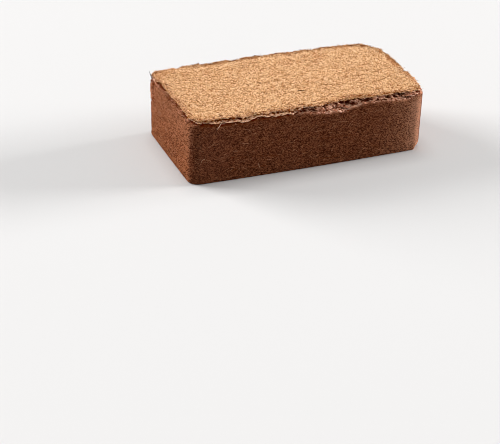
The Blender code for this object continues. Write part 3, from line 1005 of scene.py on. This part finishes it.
def make_crust():
    """The top layer: a closed grid of tape by row, from under the lip to the spine.

    The top rows' height is the crown with its lumps, the lift near the edge, and two sizes of
    packed grains. Returns the grid of points and the number of rows of its edge.
    """
    rows, seam = crust_rows(CRUST_POINTS, CRUST_NORMALS, CRUST_READING)
    edge_rows = len(rows)
    rim = rows[-1]
    for share in np.arange(1, CRUST_RINGS + 1) / CRUST_RINGS:
        flat = rim[:, :2] * (1 - share) + spine_points(rim) * share
        rows.append(np.column_stack([flat, np.full(CRUST_COLUMNS, HEIGHT - CROWN)]))
    grid = np.stack(rows)
    x, y = grid[..., 0], grid[..., 1]
    row = np.arange(len(rows))[:, None]
    on_top = row >= edge_rows - 4
    settled = ease(np.clip((row - edge_rows + 1) / 3, 0, 1))
    from_edge = np.linalg.norm(grid[..., :2] - rim[None, :, :2], axis=-1)
    far_side = ease(np.clip((y + 0.4 * x) / 0.05 + 0.4, 0, 1))
    grain = layered(grain_bumps, [x, y], (0.6, 0.0014, 26), (0.4, 0.0009, 27))
    rough = 0.36 * (grain - 0.6) + layered(flat_noise, [x, y], (0.14, 0.0007, 28), (0.12, 0.0030, 35))
    grid[..., 2] += (top_height(x, y) - (HEIGHT - CROWN)) * settled
    grid[..., 2] += (edge_lift(x, y, from_edge, far_side) + rough * MM) * on_top
    # The relief attribute is painted shade between the grains; on the lip's rows it is kept lighter.
    relief = np.clip(grain, 0, 1)
    relief[2:7] = 0.4 + 0.6 * relief[2:7]
    rust, torn = rust_and_tears(x, y, from_edge, far_side, edge_rows)
    gap = edge_gaps(x, y, from_edge, far_side, seam)
    shades = {"relief": relief, "rust": rust, "gap": gap, "torn": torn}
    faces = grid_faces(len(rows), CRUST_COLUMNS, True)
    maps = {"OFBake": crust_map(grid, faces, edge_rows)}
    dress(mesh_object("crust", grid.reshape(-1, 3), faces, maps, shades), crust_finish())
    return grid, edge_rows


def crust_map(grid, faces, edge_rows):
    """The top face seen from above, in most of the square, with the rim as a strip over it."""
    share = 0.86
    margin = 0.004
    flat = grid.reshape(-1, 3)[faces]
    u = (flat[..., 0] / LENGTH + 0.5) * (1 - 2 * margin) + margin
    v = ((flat[..., 1] / WIDTH + 0.5) * (1 - 2 * margin) + margin) * share
    row = faces // CRUST_COLUMNS
    column = faces % CRUST_COLUMNS
    joins_first = (column == 0) & (column.max(axis=1) == CRUST_COLUMNS - 1)[:, None]
    column = np.where(joins_first, CRUST_COLUMNS, column)
    in_rim = (row.max(axis=1) < edge_rows)[:, None]
    strip_v = share + margin + (1 - share - 2 * margin) * row / edge_rows
    u = np.where(in_rim, column / CRUST_COLUMNS, u)
    v = np.where(in_rim, strip_v, v)
    return np.stack([u, v], -1).reshape(-1, 2)


# Fibres and grains

ON_FACE = 0.7  # a point of the walls' grid with more cavity than this lies open, out of the cracks


def cell_corners(count, index):
    """Lower corner and size of a piece's own cell, when a map's square is shared out evenly."""
    across = int(np.ceil(np.sqrt(count)))
    size = 1 / across
    return np.stack([index % across, index // across], -1) * size, size


def fibre_mesh(name, lines, radius, shade, material, sides=3):
    """Many tapering fibres in one mesh. lines holds each fibre's points, as fibre by point by axis.

    A ring of the fibre is its point plus the radius times the cosine and sine of each side's
    angle, in the plane across the fibre. The radius falls to a third at both ends.
    """
    count, steps, _ = lines.shape
    ahead = np.gradient(lines, axis=1)
    ahead /= np.linalg.norm(ahead, axis=-1, keepdims=True) + 1e-12
    upright = np.abs(ahead[..., 2:3]) > 0.9
    reference = np.where(upright, [1.0, 0.0, 0.0], [0.0, 0.0, 1.0])
    across = np.cross(ahead, reference)
    across /= np.linalg.norm(across, axis=-1, keepdims=True)
    over = np.cross(across, ahead)
    along = np.linspace(0, 1, steps)
    taper = 0.35 + 0.65 * np.sin(np.pi * along) ** 0.5
    angle = np.arange(sides) / sides * 2 * np.pi + np.pi / 2
    thick = radius[:, None, None, None] * taper[None, :, None, None]
    ring = across[:, :, None] * np.cos(angle)[:, None] + over[:, :, None] * np.sin(angle)[:, None]
    vertices = lines[:, :, None] + ring * thick
    number = np.arange(count * steps * sides).reshape(count, steps, sides)
    here = number[:, :-1]
    beyond = number[:, 1:]
    turned = np.roll(number, -1, axis=2)
    first = np.stack([here, turned[:, :-1], turned[:, 1:]], -1)
    second = np.stack([here, turned[:, 1:], beyond], -1)
    caps = []
    for corner in range(1, sides - 1):
        caps.append(number[:, 0][:, [corner + 1, corner, 0]])
        caps.append(number[:, -1][:, [0, corner, corner + 1]])
    caps = np.stack(caps, 1)
    body = np.stack([first, second], 3).reshape(count, -1, 3)
    faces = np.concatenate([body, caps], axis=1)[:, :, ::-1]
    corner, size = cell_corners(count, np.arange(count))
    step = faces % (steps * sides) // sides
    side = faces % sides
    joins_first = (side == 0) & (side.max(axis=2) == sides - 1)[..., None]
    side = np.where(joins_first, sides, side)
    u = corner[:, None, None, 0] + size * (0.1 + 0.8 * step / (steps - 1))
    v = corner[:, None, None, 1] + size * (0.1 + 0.8 * side / sides)
    pairs = np.stack([u, v], -1).reshape(-1, 2)
    shades = {"shade": np.repeat(shade, steps * sides)}
    maps = {"OFBake": pairs}
    return dress(mesh_object(name, vertices.reshape(-1, 3), faces.reshape(-1, 3), maps, shades), material)


def lying_lines(rng, x, y, heading, length, bend, lift, steps, ground, sink):
    """Curved fibres that lie on a surface: arcs in plan, arched by lift and sunk at both ends.

    ground gives the surface's height at a place. Distance along the arc runs from minus half to
    half the length, and the heading turns evenly by bend.
    """
    along = np.linspace(-0.5, 0.5, steps)
    turned = heading[:, None] + bend[:, None] * along
    stride = length[:, None] / (steps - 1)
    dx = np.cumsum(np.cos(turned) * stride, axis=1)
    dy = np.cumsum(np.sin(turned) * stride, axis=1)
    px = x[:, None] + dx - dx.mean(axis=1, keepdims=True)
    py = y[:, None] + dy - dy.mean(axis=1, keepdims=True)
    arch = lift[:, None] * np.cos(np.pi * along) ** 0.8 + rng.normal(0, 0.06 * MM, px.shape)
    return np.stack([px, py, ground(px, py) + arch - sink], -1)


def on_crust(x, y, inset):
    """True where a place on the top face is at least inset behind the crust's mean edge."""
    half_length = LENGTH / 2 - inset
    half_width = WIDTH / 2 - inset
    inside = (np.abs(x) < half_length) & (np.abs(y) < half_width)
    for corner, (sx, sy) in CORNER_SIGNS.items():
        radius = CORNER_RADII[corner]
        past_x = sx * x - (half_length - radius)
        past_y = sy * y - (half_width - radius)
        in_corner = (past_x > 0) & (past_y > 0)
        inside &= ~(in_corner & (past_x**2 + past_y**2 > radius**2))
    return inside


def scatter_on_top(rng, count, inset):
    """Random places on the top face: drawn over the whole rectangle, and kept where it is crust."""
    x = rng.uniform(-LENGTH / 2, LENGTH / 2, 2 * count)
    y = rng.uniform(-WIDTH / 2, WIDTH / 2, 2 * count)
    keep = np.flatnonzero(on_crust(x, y, inset))[:count]
    return x[keep], y[keep]


def random_sizes(rng, count, middle, spread, least, most):
    """Sizes about a middle one with a log-normal spread and both ends cut: millimetres in, metres out."""
    return np.clip(rng.lognormal(np.log(middle), spread, count), least, most) * MM


def random_tones(rng, count, tones, odds, spread=0.12):
    """Shades drawn from a few tones with their odds, each made darker at random by up to spread."""
    return rng.choice(tones, count, p=odds) + rng.uniform(0, spread, count)


def sideways(outward):
    """Level directions at a right angle to the outward ones."""
    return np.stack([-outward[:, 1], outward[:, 0]], -1)


def make_top_fibres(material):
    """Short curled fibres strewn over the crust in every direction."""
    rng = np.random.default_rng(200)
    x, y = scatter_on_top(rng, 7400, 0.0030)
    count = len(x)
    length = random_sizes(rng, count, 1.5, 0.45, 0.8, 6)
    bend = rng.normal(0, 0.9, count)
    lift = np.abs(rng.normal(0.06, 0.16, count)) * MM
    heading = rng.uniform(0, np.pi, count)
    lines = lying_lines(rng, x, y, heading, length, bend, lift, 4, top_height, 0.02 * MM)
    radius = rng.uniform(0.09, 0.19, count) * MM
    shade = random_tones(rng, count, [0.0, 0.25, 0.55, 0.9], [0.34, 0.28, 0.20, 0.18], 0.1)
    fibre_mesh("top_fibres", lines, radius, shade, material)


def icosahedron():
    """Twelve corners and twenty faces of a ball of radius 1."""
    golden = (1 + 5**0.5) / 2
    corners = []
    for a in (-1, 1):
        for b in (-golden, golden):
            corners += [(0, a, b), (a, b, 0), (b, 0, a)]
    corners = np.array(corners) / (1 + golden**2) ** 0.5
    near = 4 / (1 + golden**2) + 0.01
    faces = []
    for i in range(12):
        for j in range(i + 1, 12):
            for k in range(j + 1, 12):
                trio = corners[[i, j, k]]
                sides = np.sum((trio - np.roll(trio, 1, axis=0)) ** 2, axis=1)
                if np.all(sides < near):
                    outward = np.dot(np.cross(trio[1] - trio[0], trio[2] - trio[0]), trio[0]) > 0
                    faces.append((i, j, k) if outward else (i, k, j))
    return corners, np.array(faces)


def grain_mesh(name, places, radius, flatness, shade, rng, material):
    """Many pith grains in one mesh: balls of twenty faces, dented at random, turned and flattened."""
    ball, ball_faces = icosahedron()
    count = len(places)
    dented = ball[None] * rng.uniform(0.62, 1.25, (count, len(ball), 1))
    turn = rng.uniform(0, 2 * np.pi, count)
    cos, sin = np.cos(turn)[:, None], np.sin(turn)[:, None]
    longer = rng.uniform(1.0, 1.7, count)[:, None]
    x = dented[..., 0] * longer
    y = dented[..., 1]
    shape = np.stack([x * cos - y * sin, x * sin + y * cos, dented[..., 2] * flatness], -1)
    vertices = places[:, None] + shape * radius[:, None, None]
    faces = ball_faces[None] + (np.arange(count) * len(ball))[:, None, None]
    corner, size = cell_corners(count, np.arange(count))
    flat = ball[ball_faces][None, :, :, :2] * 0.45 + 0.5
    pairs = corner[:, None, None] + size * np.broadcast_to(flat, (count, *flat.shape[1:]))
    shades = {"shade": np.repeat(shade, len(ball))}
    maps = {"OFBake": pairs.reshape(-1, 2)}
    return dress(mesh_object(name, vertices.reshape(-1, 3), faces.reshape(-1, 3), maps, shades), material)


def make_top_grains(material):
    """Grains of pith lying between the fibres of the crust."""
    rng = np.random.default_rng(300)
    x, y = scatter_on_top(rng, 5400, 0.0026)
    radius = random_sizes(rng, len(x), 0.42, 0.30, 0.24, 0.9)
    places = np.stack([x, y, top_height(x, y) + 0.10 * MM - 0.25 * radius], -1)
    shade = random_tones(rng, len(x), [0.05, 0.4, 0.85], [0.40, 0.32, 0.28])
    grain_mesh("top_grains", places, radius, 0.6, shade, rng, material)


def wall_place(reading, height, out):
    """Points that stand out from the smooth wall by a distance, at tape readings and heights."""
    order = np.argsort(PLAN_READING)
    walked = order[np.searchsorted(PLAN_READING[order], reading % TAPE_LENGTH) % WALL_COLUMNS]
    inset = PLAN_BULGE[walked] + MEAN_RELIEF - out
    flat = PLAN_POINTS[walked] - PLAN_NORMALS[walked] * inset[..., None]
    return np.concatenate([flat, height[..., None]], -1)


def level_lines(reading, height, heading, length, bend, out, steps=4):
    """Curved fibres on the unrolled wall: arcs whose middles are at the readings and heights."""
    along = np.linspace(-0.5, 0.5, steps)
    turned = heading[:, None] + bend[:, None] * along
    stride = length[:, None] / (steps - 1)
    right = np.cumsum(np.cos(turned) * stride, axis=1)
    up = np.cumsum(np.sin(turned) * stride, axis=1)
    right = reading[:, None] + right - right.mean(axis=1, keepdims=True)
    up = height[:, None] + up - up.mean(axis=1, keepdims=True)
    arch = out[:, None] * np.cos(np.pi * along) ** 0.8
    return wall_place(right, np.clip(up, 0.0008, HEIGHT - 0.001), arch)


def make_wall_fibres(material):
    """Fibres pressed into the walls, most of them nearly level and hardly standing out."""
    rng = np.random.default_rng(400)
    reading = rng.uniform(0, TAPE_LENGTH, 2200)
    reading = reading[polished(reading, 0 * reading + HEIGHT / 2) < 0.5]
    count = len(reading)
    low = 0.002
    top = wall_levels(reading)[0] - 0.003
    height = low + rng.uniform(0, 1, count) * (top - low)
    length = random_sizes(rng, count, 3.2, 0.5, 1.2, 14)
    heading = rng.normal(0, 0.45, count)
    bend = rng.normal(0, 0.9, count)
    out = rng.uniform(-0.02, 0.16, count) * MM
    lines = level_lines(reading, height, heading, length, bend, out)
    radius = rng.uniform(0.08, 0.16, count) * MM
    shade = random_tones(rng, count, [0.0, 0.4, 0.85], [0.30, 0.42, 0.28])
    fibre_mesh("wall_fibres", lines, radius, shade, material)


def band_columns(rng, tries, least, most, count):
    """Random columns of the walls' grid, more of them where the broken band is tall.

    Each try draws a height between least and most, in millimetres, and is kept where the band is
    taller than that, up to the count.
    """
    columns = rng.integers(0, WALL_COLUMNS, tries)
    drawn = rng.uniform(least * MM, most * MM, tries)
    wall_top, band_top, _ = wall_levels(PLAN_READING[columns])
    return columns[drawn < band_top - wall_top][:count]


def make_rim_grains(grid, cavity, band_start, material):
    """Crumbs of pith on the broken band and round the crumbly corner, at points of the walls' grid."""
    rng = np.random.default_rng(500)
    columns = band_columns(rng, 6000, 1.5, 5.0, 1500)
    rows = rng.integers(band_start - 3, band_start + BAND_ROWS, len(columns))
    on_band = grid[rows, columns][cavity[rows, columns] > ON_FACE]
    count = 700
    reading = CRUMBLY_CORNER + rng.normal(0, 0.011, count)
    height = HEIGHT - 0.004 - np.abs(rng.normal(0, 0.017, count))
    on_corner = wall_place(reading, np.clip(height, 0.004, HEIGHT), rng.uniform(-0.5, 0.05, count) * MM)
    places = np.concatenate([on_band, on_corner])
    radius = random_sizes(rng, len(places), 0.42, 0.35, 0.2, 0.9)
    shade = rng.choice([0.1, 0.5, 0.95], len(places), p=[0.34, 0.33, 0.33])
    shade[len(on_band) :] = np.minimum(shade[len(on_band) :] + 0.35, 1)
    grain_mesh("rim_grains", places, radius, 0.75, shade, rng, material)


def loose_lines(rng, start, flat, length, rise, scatter, longest):
    """Fibres that leave a surface at their starts: straight in plan at first, then curled.

    flat is the heading in plan, length and longest the middle and the greatest length in
    millimetres, and rise and scatter the mean and spread of the slope.
    """
    count = len(start)
    heading = np.concatenate([flat, rng.normal(rise, scatter, (count, 1))], -1)
    heading /= np.linalg.norm(heading, axis=1, keepdims=True)
    length = random_sizes(rng, count, length, 0.45, 0.9, longest)
    along = np.linspace(-0.2, 0.8, 4)[None, :, None] * length[:, None, None]
    curl = rng.normal(0, 0.10, (count, 1, 3)) / MM * along**2
    lines = start[:, None] + heading[:, None] * along + curl
    lowest = [-LENGTH / 2 - PAST_ENDS, -WIDTH / 2 - PAST_SIDES, 0.001]
    highest = [LENGTH / 2 + PAST_ENDS, WIDTH / 2 + PAST_SIDES, HEIGHT + PAST_TOP]
    return np.clip(lines, lowest, highest)


def make_rim_fibres(grid, band_start, material):
    """Fibres that stick out of the broken band."""
    rng = np.random.default_rng(600)
    columns = band_columns(rng, 4000, 0, 5.0, 1100)
    count = len(columns)
    rows = rng.integers(band_start - 2, band_start + BAND_ROWS, count)
    outward = PLAN_NORMALS[columns]
    flat = outward * rng.uniform(0.05, 0.7, (count, 1)) + sideways(outward) * rng.normal(0, 1, (count, 1))
    lines = loose_lines(rng, grid[rows, columns], flat, 2.0, 0.05, 0.35, 3.5)
    radius = rng.uniform(0.07, 0.13, count) * MM
    shade = rng.choice([0.0, 0.4, 0.9], count, p=[0.38, 0.30, 0.32])
    fibre_mesh("rim_fibres", lines, radius, shade, material)


def make_lip_grains(rng, grid, edge_rows, material):
    """Grains that cover the crust's edge."""
    count = 1500
    columns = rng.integers(0, CRUST_COLUMNS, count)
    rows = rng.integers(3, edge_rows + 4, count)
    places = grid[rows, columns] - [0, 0, 0.1 * MM]
    radius = random_sizes(rng, count, 0.40, 0.30, 0.2, 0.8)
    shade = random_tones(rng, count, [0.05, 0.4, 0.85], [0.40, 0.32, 0.28])
    grain_mesh("lip_grains", places, radius, 0.7, shade, rng, material)


def make_lip_fibres(rng, grid, edge_rows, material):
    """Fibres that lie along the crust's edge and hang over it a little."""
    count = 1500
    columns = rng.integers(0, CRUST_COLUMNS, count)
    rows = rng.integers(6, edge_rows + 5, count)
    outward = CRUST_NORMALS[columns]
    flat = outward * rng.normal(0.1, 0.5, (count, 1)) + sideways(outward) * rng.normal(0, 1, (count, 1))
    lines = loose_lines(rng, grid[rows, columns], flat, 2.2, 0.02, 0.18, 3.5)
    radius = rng.uniform(0.08, 0.16, count) * MM
    shade = rng.choice([0.0, 0.3, 0.6, 0.95], count, p=[0.36, 0.24, 0.20, 0.20])
    fibre_mesh("lip_fibres", lines, radius, shade, material)


def make_rim_flakes(grid, cavity, band_start, material):
    """Torn flakes of the broken band: flat lumps that lie on its steps."""
    rng = np.random.default_rng(800)
    columns = band_columns(rng, 9000, 1.5, 7.0, 520)
    rows = rng.integers(band_start, band_start + BAND_ROWS - 3, len(columns))
    places = grid[rows, columns][cavity[rows, columns] > ON_FACE]
    radius = random_sizes(rng, len(places), 0.75, 0.40, 0.4, 1.6)
    shade = rng.choice([0.0, 0.5, 1.0], len(places), p=[0.50, 0.32, 0.18])
    grain_mesh("rim_flakes", places, radius, 0.36, shade, rng, material)


def make_dark_strands(wall, band_start, crust, edge_rows, material):
    """Nearly black strands along the crust's seam, in the gaps of the band, and on top near the edge; in
    the seam and gaps they add painted shade.
    """
    rng = np.random.default_rng(900)
    tries, most, count_on_top = 2400, 420, 330
    seamed = rng.integers(0, CRUST_COLUMNS, tries)
    seamed = seamed[rng.uniform(0, 1, tries) < 0.25 + 0.75 * two_plies(CRUST_READING[seamed])][:most]
    on_seam = crust[rng.integers(5, 10, len(seamed)), seamed]
    opened = rng.integers(0, WALL_COLUMNS, tries)
    opened = opened[rng.uniform(0, 1, tries) < gaping(PLAN_READING[opened]) - 0.2][:most]
    in_groove = wall[band_start + BAND_ROWS - rng.integers(0, 6, len(opened)), opened]
    near_edge = rng.integers(0, CRUST_COLUMNS, count_on_top)
    behind = np.minimum(rng.exponential(3.5, count_on_top), 13).astype(int)
    on_top = crust[edge_rows - 1 + behind, near_edge]
    outward = np.concatenate([CRUST_NORMALS[seamed], PLAN_NORMALS[opened], CRUST_NORMALS[near_edge]])
    start = np.concatenate([on_seam, in_groove, on_top])
    on_rim = len(on_seam) + len(in_groove)
    start[:on_rim, :2] += outward[:on_rim] * 0.25 * MM
    count = len(start)
    tangent = sideways(outward) * rng.choice([-1, 1], (count, 1))
    flat = tangent + outward * rng.normal(0.05, 0.25, (count, 1))
    lines = loose_lines(rng, start, flat, 2.0, 0.0, 0.10, 5)
    radius = rng.uniform(0.14, 0.30, count) * MM
    fibre_mesh("dark_strands", lines, radius, rng.uniform(0.8, 1, count), material)


# Single strands that stand out, in millimetres: start, middle, end, thickness, and how dark from 0 to 1
STRAYS_MM = [
    ((-100.0, 38.0, 52.2), (-100.4, 42.0, 53.9), (-99.6, 47.3, 55.0), 0.62, 1.0),
    ((0.0, -20.4, 53.7), (2.4, -22.9, 53.8), (5.6, -22.4, 53.7), 0.60, 1.0),
    ((-75.4, -52.2, 53.4), (-77.6, -52.6, 49.5), (-80.0, -52.2, 46.0), 0.34, 0.0),
    ((-91.9, -51.9, 19.9), (-91.1, -52.1, 22.3), (-88.7, -51.9, 22.7), 0.24, 0.35),
    ((-44.8, -51.9, 12.0), (-43.9, -52.1, 9.2), (-42.6, -51.9, 7.2), 0.24, 0.35),
]
# Dark tufts on the far edges: where they stand, in millimetres
TUFTS_MM = [
    (-8.0, 50.6, 54.0),
    (-7.0, 50.8, 54.0),
    (51.0, 50.4, 53.9),
    (96.6, 28.0, 53.7),
    (-57.0, 50.6, 53.9),
]
TUFT_STRANDS = 5


def make_strays(material):
    """The strays: curves through their three points, and tufts of short strands.

    A curve is a parabola in its share of the way: the start by the square of what is left, the
    end by the square of the share, and the bend by twice their product.
    """
    rng = np.random.default_rng(1000)
    share = np.linspace(0, 1, 6)[:, None]
    lines = []
    radius = []
    shade = []
    for *points, thickness, dark in STRAYS_MM:
        start, middle, end = np.array(points)
        bend = 2 * middle - (start + end) / 2
        lines.append(start * (1 - share) ** 2 + 2 * bend * share * (1 - share) + end * share**2)
        radius.append(thickness / 2)
        shade.append(dark)
    for place in np.repeat(np.array(TUFTS_MM), TUFT_STRANDS, axis=0):
        end = place + np.clip(rng.normal([0, 0.5, 0.9], [0.8, 0.4, 0.3]), -2, 1.1)
        lines.append(place + rng.normal(0, 0.3, 3) * (1 - share) + (end - place) * share)
        radius.append(rng.uniform(0.16, 0.28))
        shade.append(0.9)
    fibre_mesh("strays", np.stack(lines) * MM, np.array(radius) * MM, np.array(shade), material, sides=5)


def make_fuzz(crust, edge_rows, material):
    """Short strands that stand up along the far edges."""
    rng = np.random.default_rng(1100)
    tries = 2000
    columns = rng.integers(0, CRUST_COLUMNS, tries)
    start = crust[rng.integers(edge_rows - 3, edge_rows + 2, tries), columns]
    far = start[:, 1] + 0.4 * start[:, 0] > 0.02
    start = start[far]
    outward = CRUST_NORMALS[columns[far]]
    count = len(start)
    flat = sideways(outward) * rng.normal(0, 1, (count, 1)) + outward * rng.uniform(0, 0.4, (count, 1))
    lines = loose_lines(rng, start, flat, 1.4, 0.45, 0.25, 2.2)
    shade = rng.choice([0.0, 0.5, 1.0], count, p=[0.3, 0.3, 0.4])
    fibre_mesh("edge_fuzz", lines, rng.uniform(0.10, 0.20, count) * MM, shade, material)


# Base

BASE_COLUMNS = 240
BASE_ROWS = 36
PIT_DEPTH = 0.00035


def make_base():
    """The face underneath: flat where it bears, with shallow pits between its grains.

    It is a closed grid that shrinks evenly from the base edge to the spine.
    """
    points, normals, reading = plan_walk(BASE_COLUMNS)
    inset = bulge_inset(points, normals) + BASE_SET_IN + CHIP_DEPTH * chip(reading)
    rim = points - normals * inset[:, None]
    share = np.linspace(0, 1, BASE_ROWS)[:, None, None]
    flat = rim[None] * (1 - share) + spine_points(rim)[None] * share
    pits = np.clip(0.5 - 0.9 * grain_bumps(flat[..., 0], flat[..., 1], 0.0022, 29), 0, 1)
    pits[0] = 0
    grid = np.concatenate([flat, pits[..., None] * PIT_DEPTH], -1)
    faces = grid_faces(BASE_ROWS, BASE_COLUMNS, True)[:, ::-1]
    # The relief attribute paints shade into the base's pits.
    shades = {"relief": 1 - 0.8 * pits, "rust": 0.4 + 0 * pits}
    seen_from_above = grid.reshape(-1, 3)[faces][..., :2] / [LENGTH, WIDTH] * 0.98 + 0.5
    maps = {"OFBake": seen_from_above.reshape(-1, 2)}
    dress(mesh_object("base_face", grid.reshape(-1, 3), faces, maps, shades), crust_finish())


# Stage

FLOOR_SIZE = 8.0
LIGHT_DISTANCE = 10.0
WORLD_STRENGTH = 0.28


def make_stage():
    """A plain pale floor, wide enough to fill the view."""
    bpy.ops.mesh.primitive_plane_add(size=FLOOR_SIZE, location=(0, 0, 0))
    floor = bpy.context.object
    floor.name = "floor"
    finish = Finish("pale_floor", Roughness=0.8, Base_Color=(0.70, 0.692, 0.687, 1), Specular_IOR_Level=0.1)
    floor.data.materials.append(finish.material)


def soft_light(name, azimuth, elevation, strength, spread):
    """A far square softbox at an azimuth from +Y towards +X and an elevation, both in degrees.

    strength is the radiance that it alone would give a white face turned straight to it, and
    spread its width over its distance.
    """
    turn, rise = np.radians([azimuth, elevation])
    away = Vector((np.sin(turn) * np.cos(rise), np.cos(turn) * np.cos(rise), np.sin(rise)))
    lamp = bpy.data.lights.new(name, "AREA")
    lamp.size = spread * LIGHT_DISTANCE
    lamp.energy = strength * (np.pi * LIGHT_DISTANCE) ** 2
    light = bpy.data.objects.new(name, lamp)
    light.location = LIGHT_DISTANCE * away
    light.rotation_euler = away.to_track_quat("Z", "Y").to_euler()
    bpy.context.scene.collection.objects.link(light)


def make_lights():
    """A high softbox behind the block, and one at each side that stands a little behind it too."""
    soft_light("overhead", 0, 78, 0.34, 0.5)
    soft_light("left_box", -46, 17, 1.55, 0.60)
    soft_light("right_box", 95, 9, 2.2, 0.45)
    world = bpy.data.worlds.new("studio")
    world.use_nodes = True
    background = world.node_tree.nodes["Background"]
    background.inputs["Color"].default_value = (1, 1, 1, 1)
    background.inputs["Strength"].default_value = WORLD_STRENGTH
    bpy.context.scene.world = world


# The camera stands where the photograph's did, with the block at the same place in the frame
CAMERA_PLACE = (-0.4422, -0.9794, 0.5352)
CAMERA_AZIMUTH = 22.915  # degrees from +Y towards +X
CAMERA_PITCH = 29.705  # degrees downwards
CAMERA_ROLL = 1.884  # degrees
CAMERA_LENS = 105.9  # millimetres
CAMERA_SENSOR = 36  # millimetres wide


def make_camera():
    """A camera from its place, heading, pitch and roll."""
    lens = bpy.data.cameras.new("camera")
    lens.sensor_width = CAMERA_SENSOR
    lens.lens = CAMERA_LENS
    lens.clip_start = 0.01
    camera = bpy.data.objects.new("camera", lens)
    azimuth, pitch, roll = np.radians([CAMERA_AZIMUTH, CAMERA_PITCH, CAMERA_ROLL])
    ahead = Vector((np.sin(azimuth) * np.cos(pitch), np.cos(azimuth) * np.cos(pitch), -np.sin(pitch)))
    level = Vector((np.cos(azimuth), -np.sin(azimuth), 0))
    upward = level.cross(ahead)
    right = np.cos(roll) * level + np.sin(roll) * upward
    up = -np.sin(roll) * level + np.cos(roll) * upward
    turn = Matrix((right, up, -ahead)).transposed().to_4x4()
    camera.matrix_world = Matrix.Translation(CAMERA_PLACE) @ turn
    bpy.context.scene.collection.objects.link(camera)
    bpy.context.scene.camera = camera


wall_grid, wall_cavity, band_start = make_walls()
crust_grid, edge_rows = make_crust()
make_base()
finishes = {name: fibre_finish(name, *colours) for name, colours in FIBRE_COLOURS.items()}
make_top_fibres(finishes["coir_fibre"])
make_top_grains(finishes["pith_grain"])
make_wall_fibres(finishes["wall_fibre"])
make_rim_grains(wall_grid, wall_cavity, band_start, finishes["rim_crumb"])
make_rim_fibres(wall_grid, band_start, finishes["rim_crumb"])
lip_chance = np.random.default_rng(700)
make_lip_grains(lip_chance, crust_grid, edge_rows, finishes["pith_grain"])
make_lip_fibres(lip_chance, crust_grid, edge_rows, finishes["coir_fibre"])
make_rim_flakes(wall_grid, wall_cavity, band_start, finishes["rim_flake"])
make_dark_strands(wall_grid, band_start, crust_grid, edge_rows, finishes["dark_strand"])
make_strays(finishes["stray"])
make_fuzz(crust_grid, edge_rows, finishes["edge_fuzz"])
make_stage()
make_lights()
make_camera()
bpy.context.scene.view_settings.view_transform = "Standard"
bpy.context.scene.cycles.filter_width = 0.9
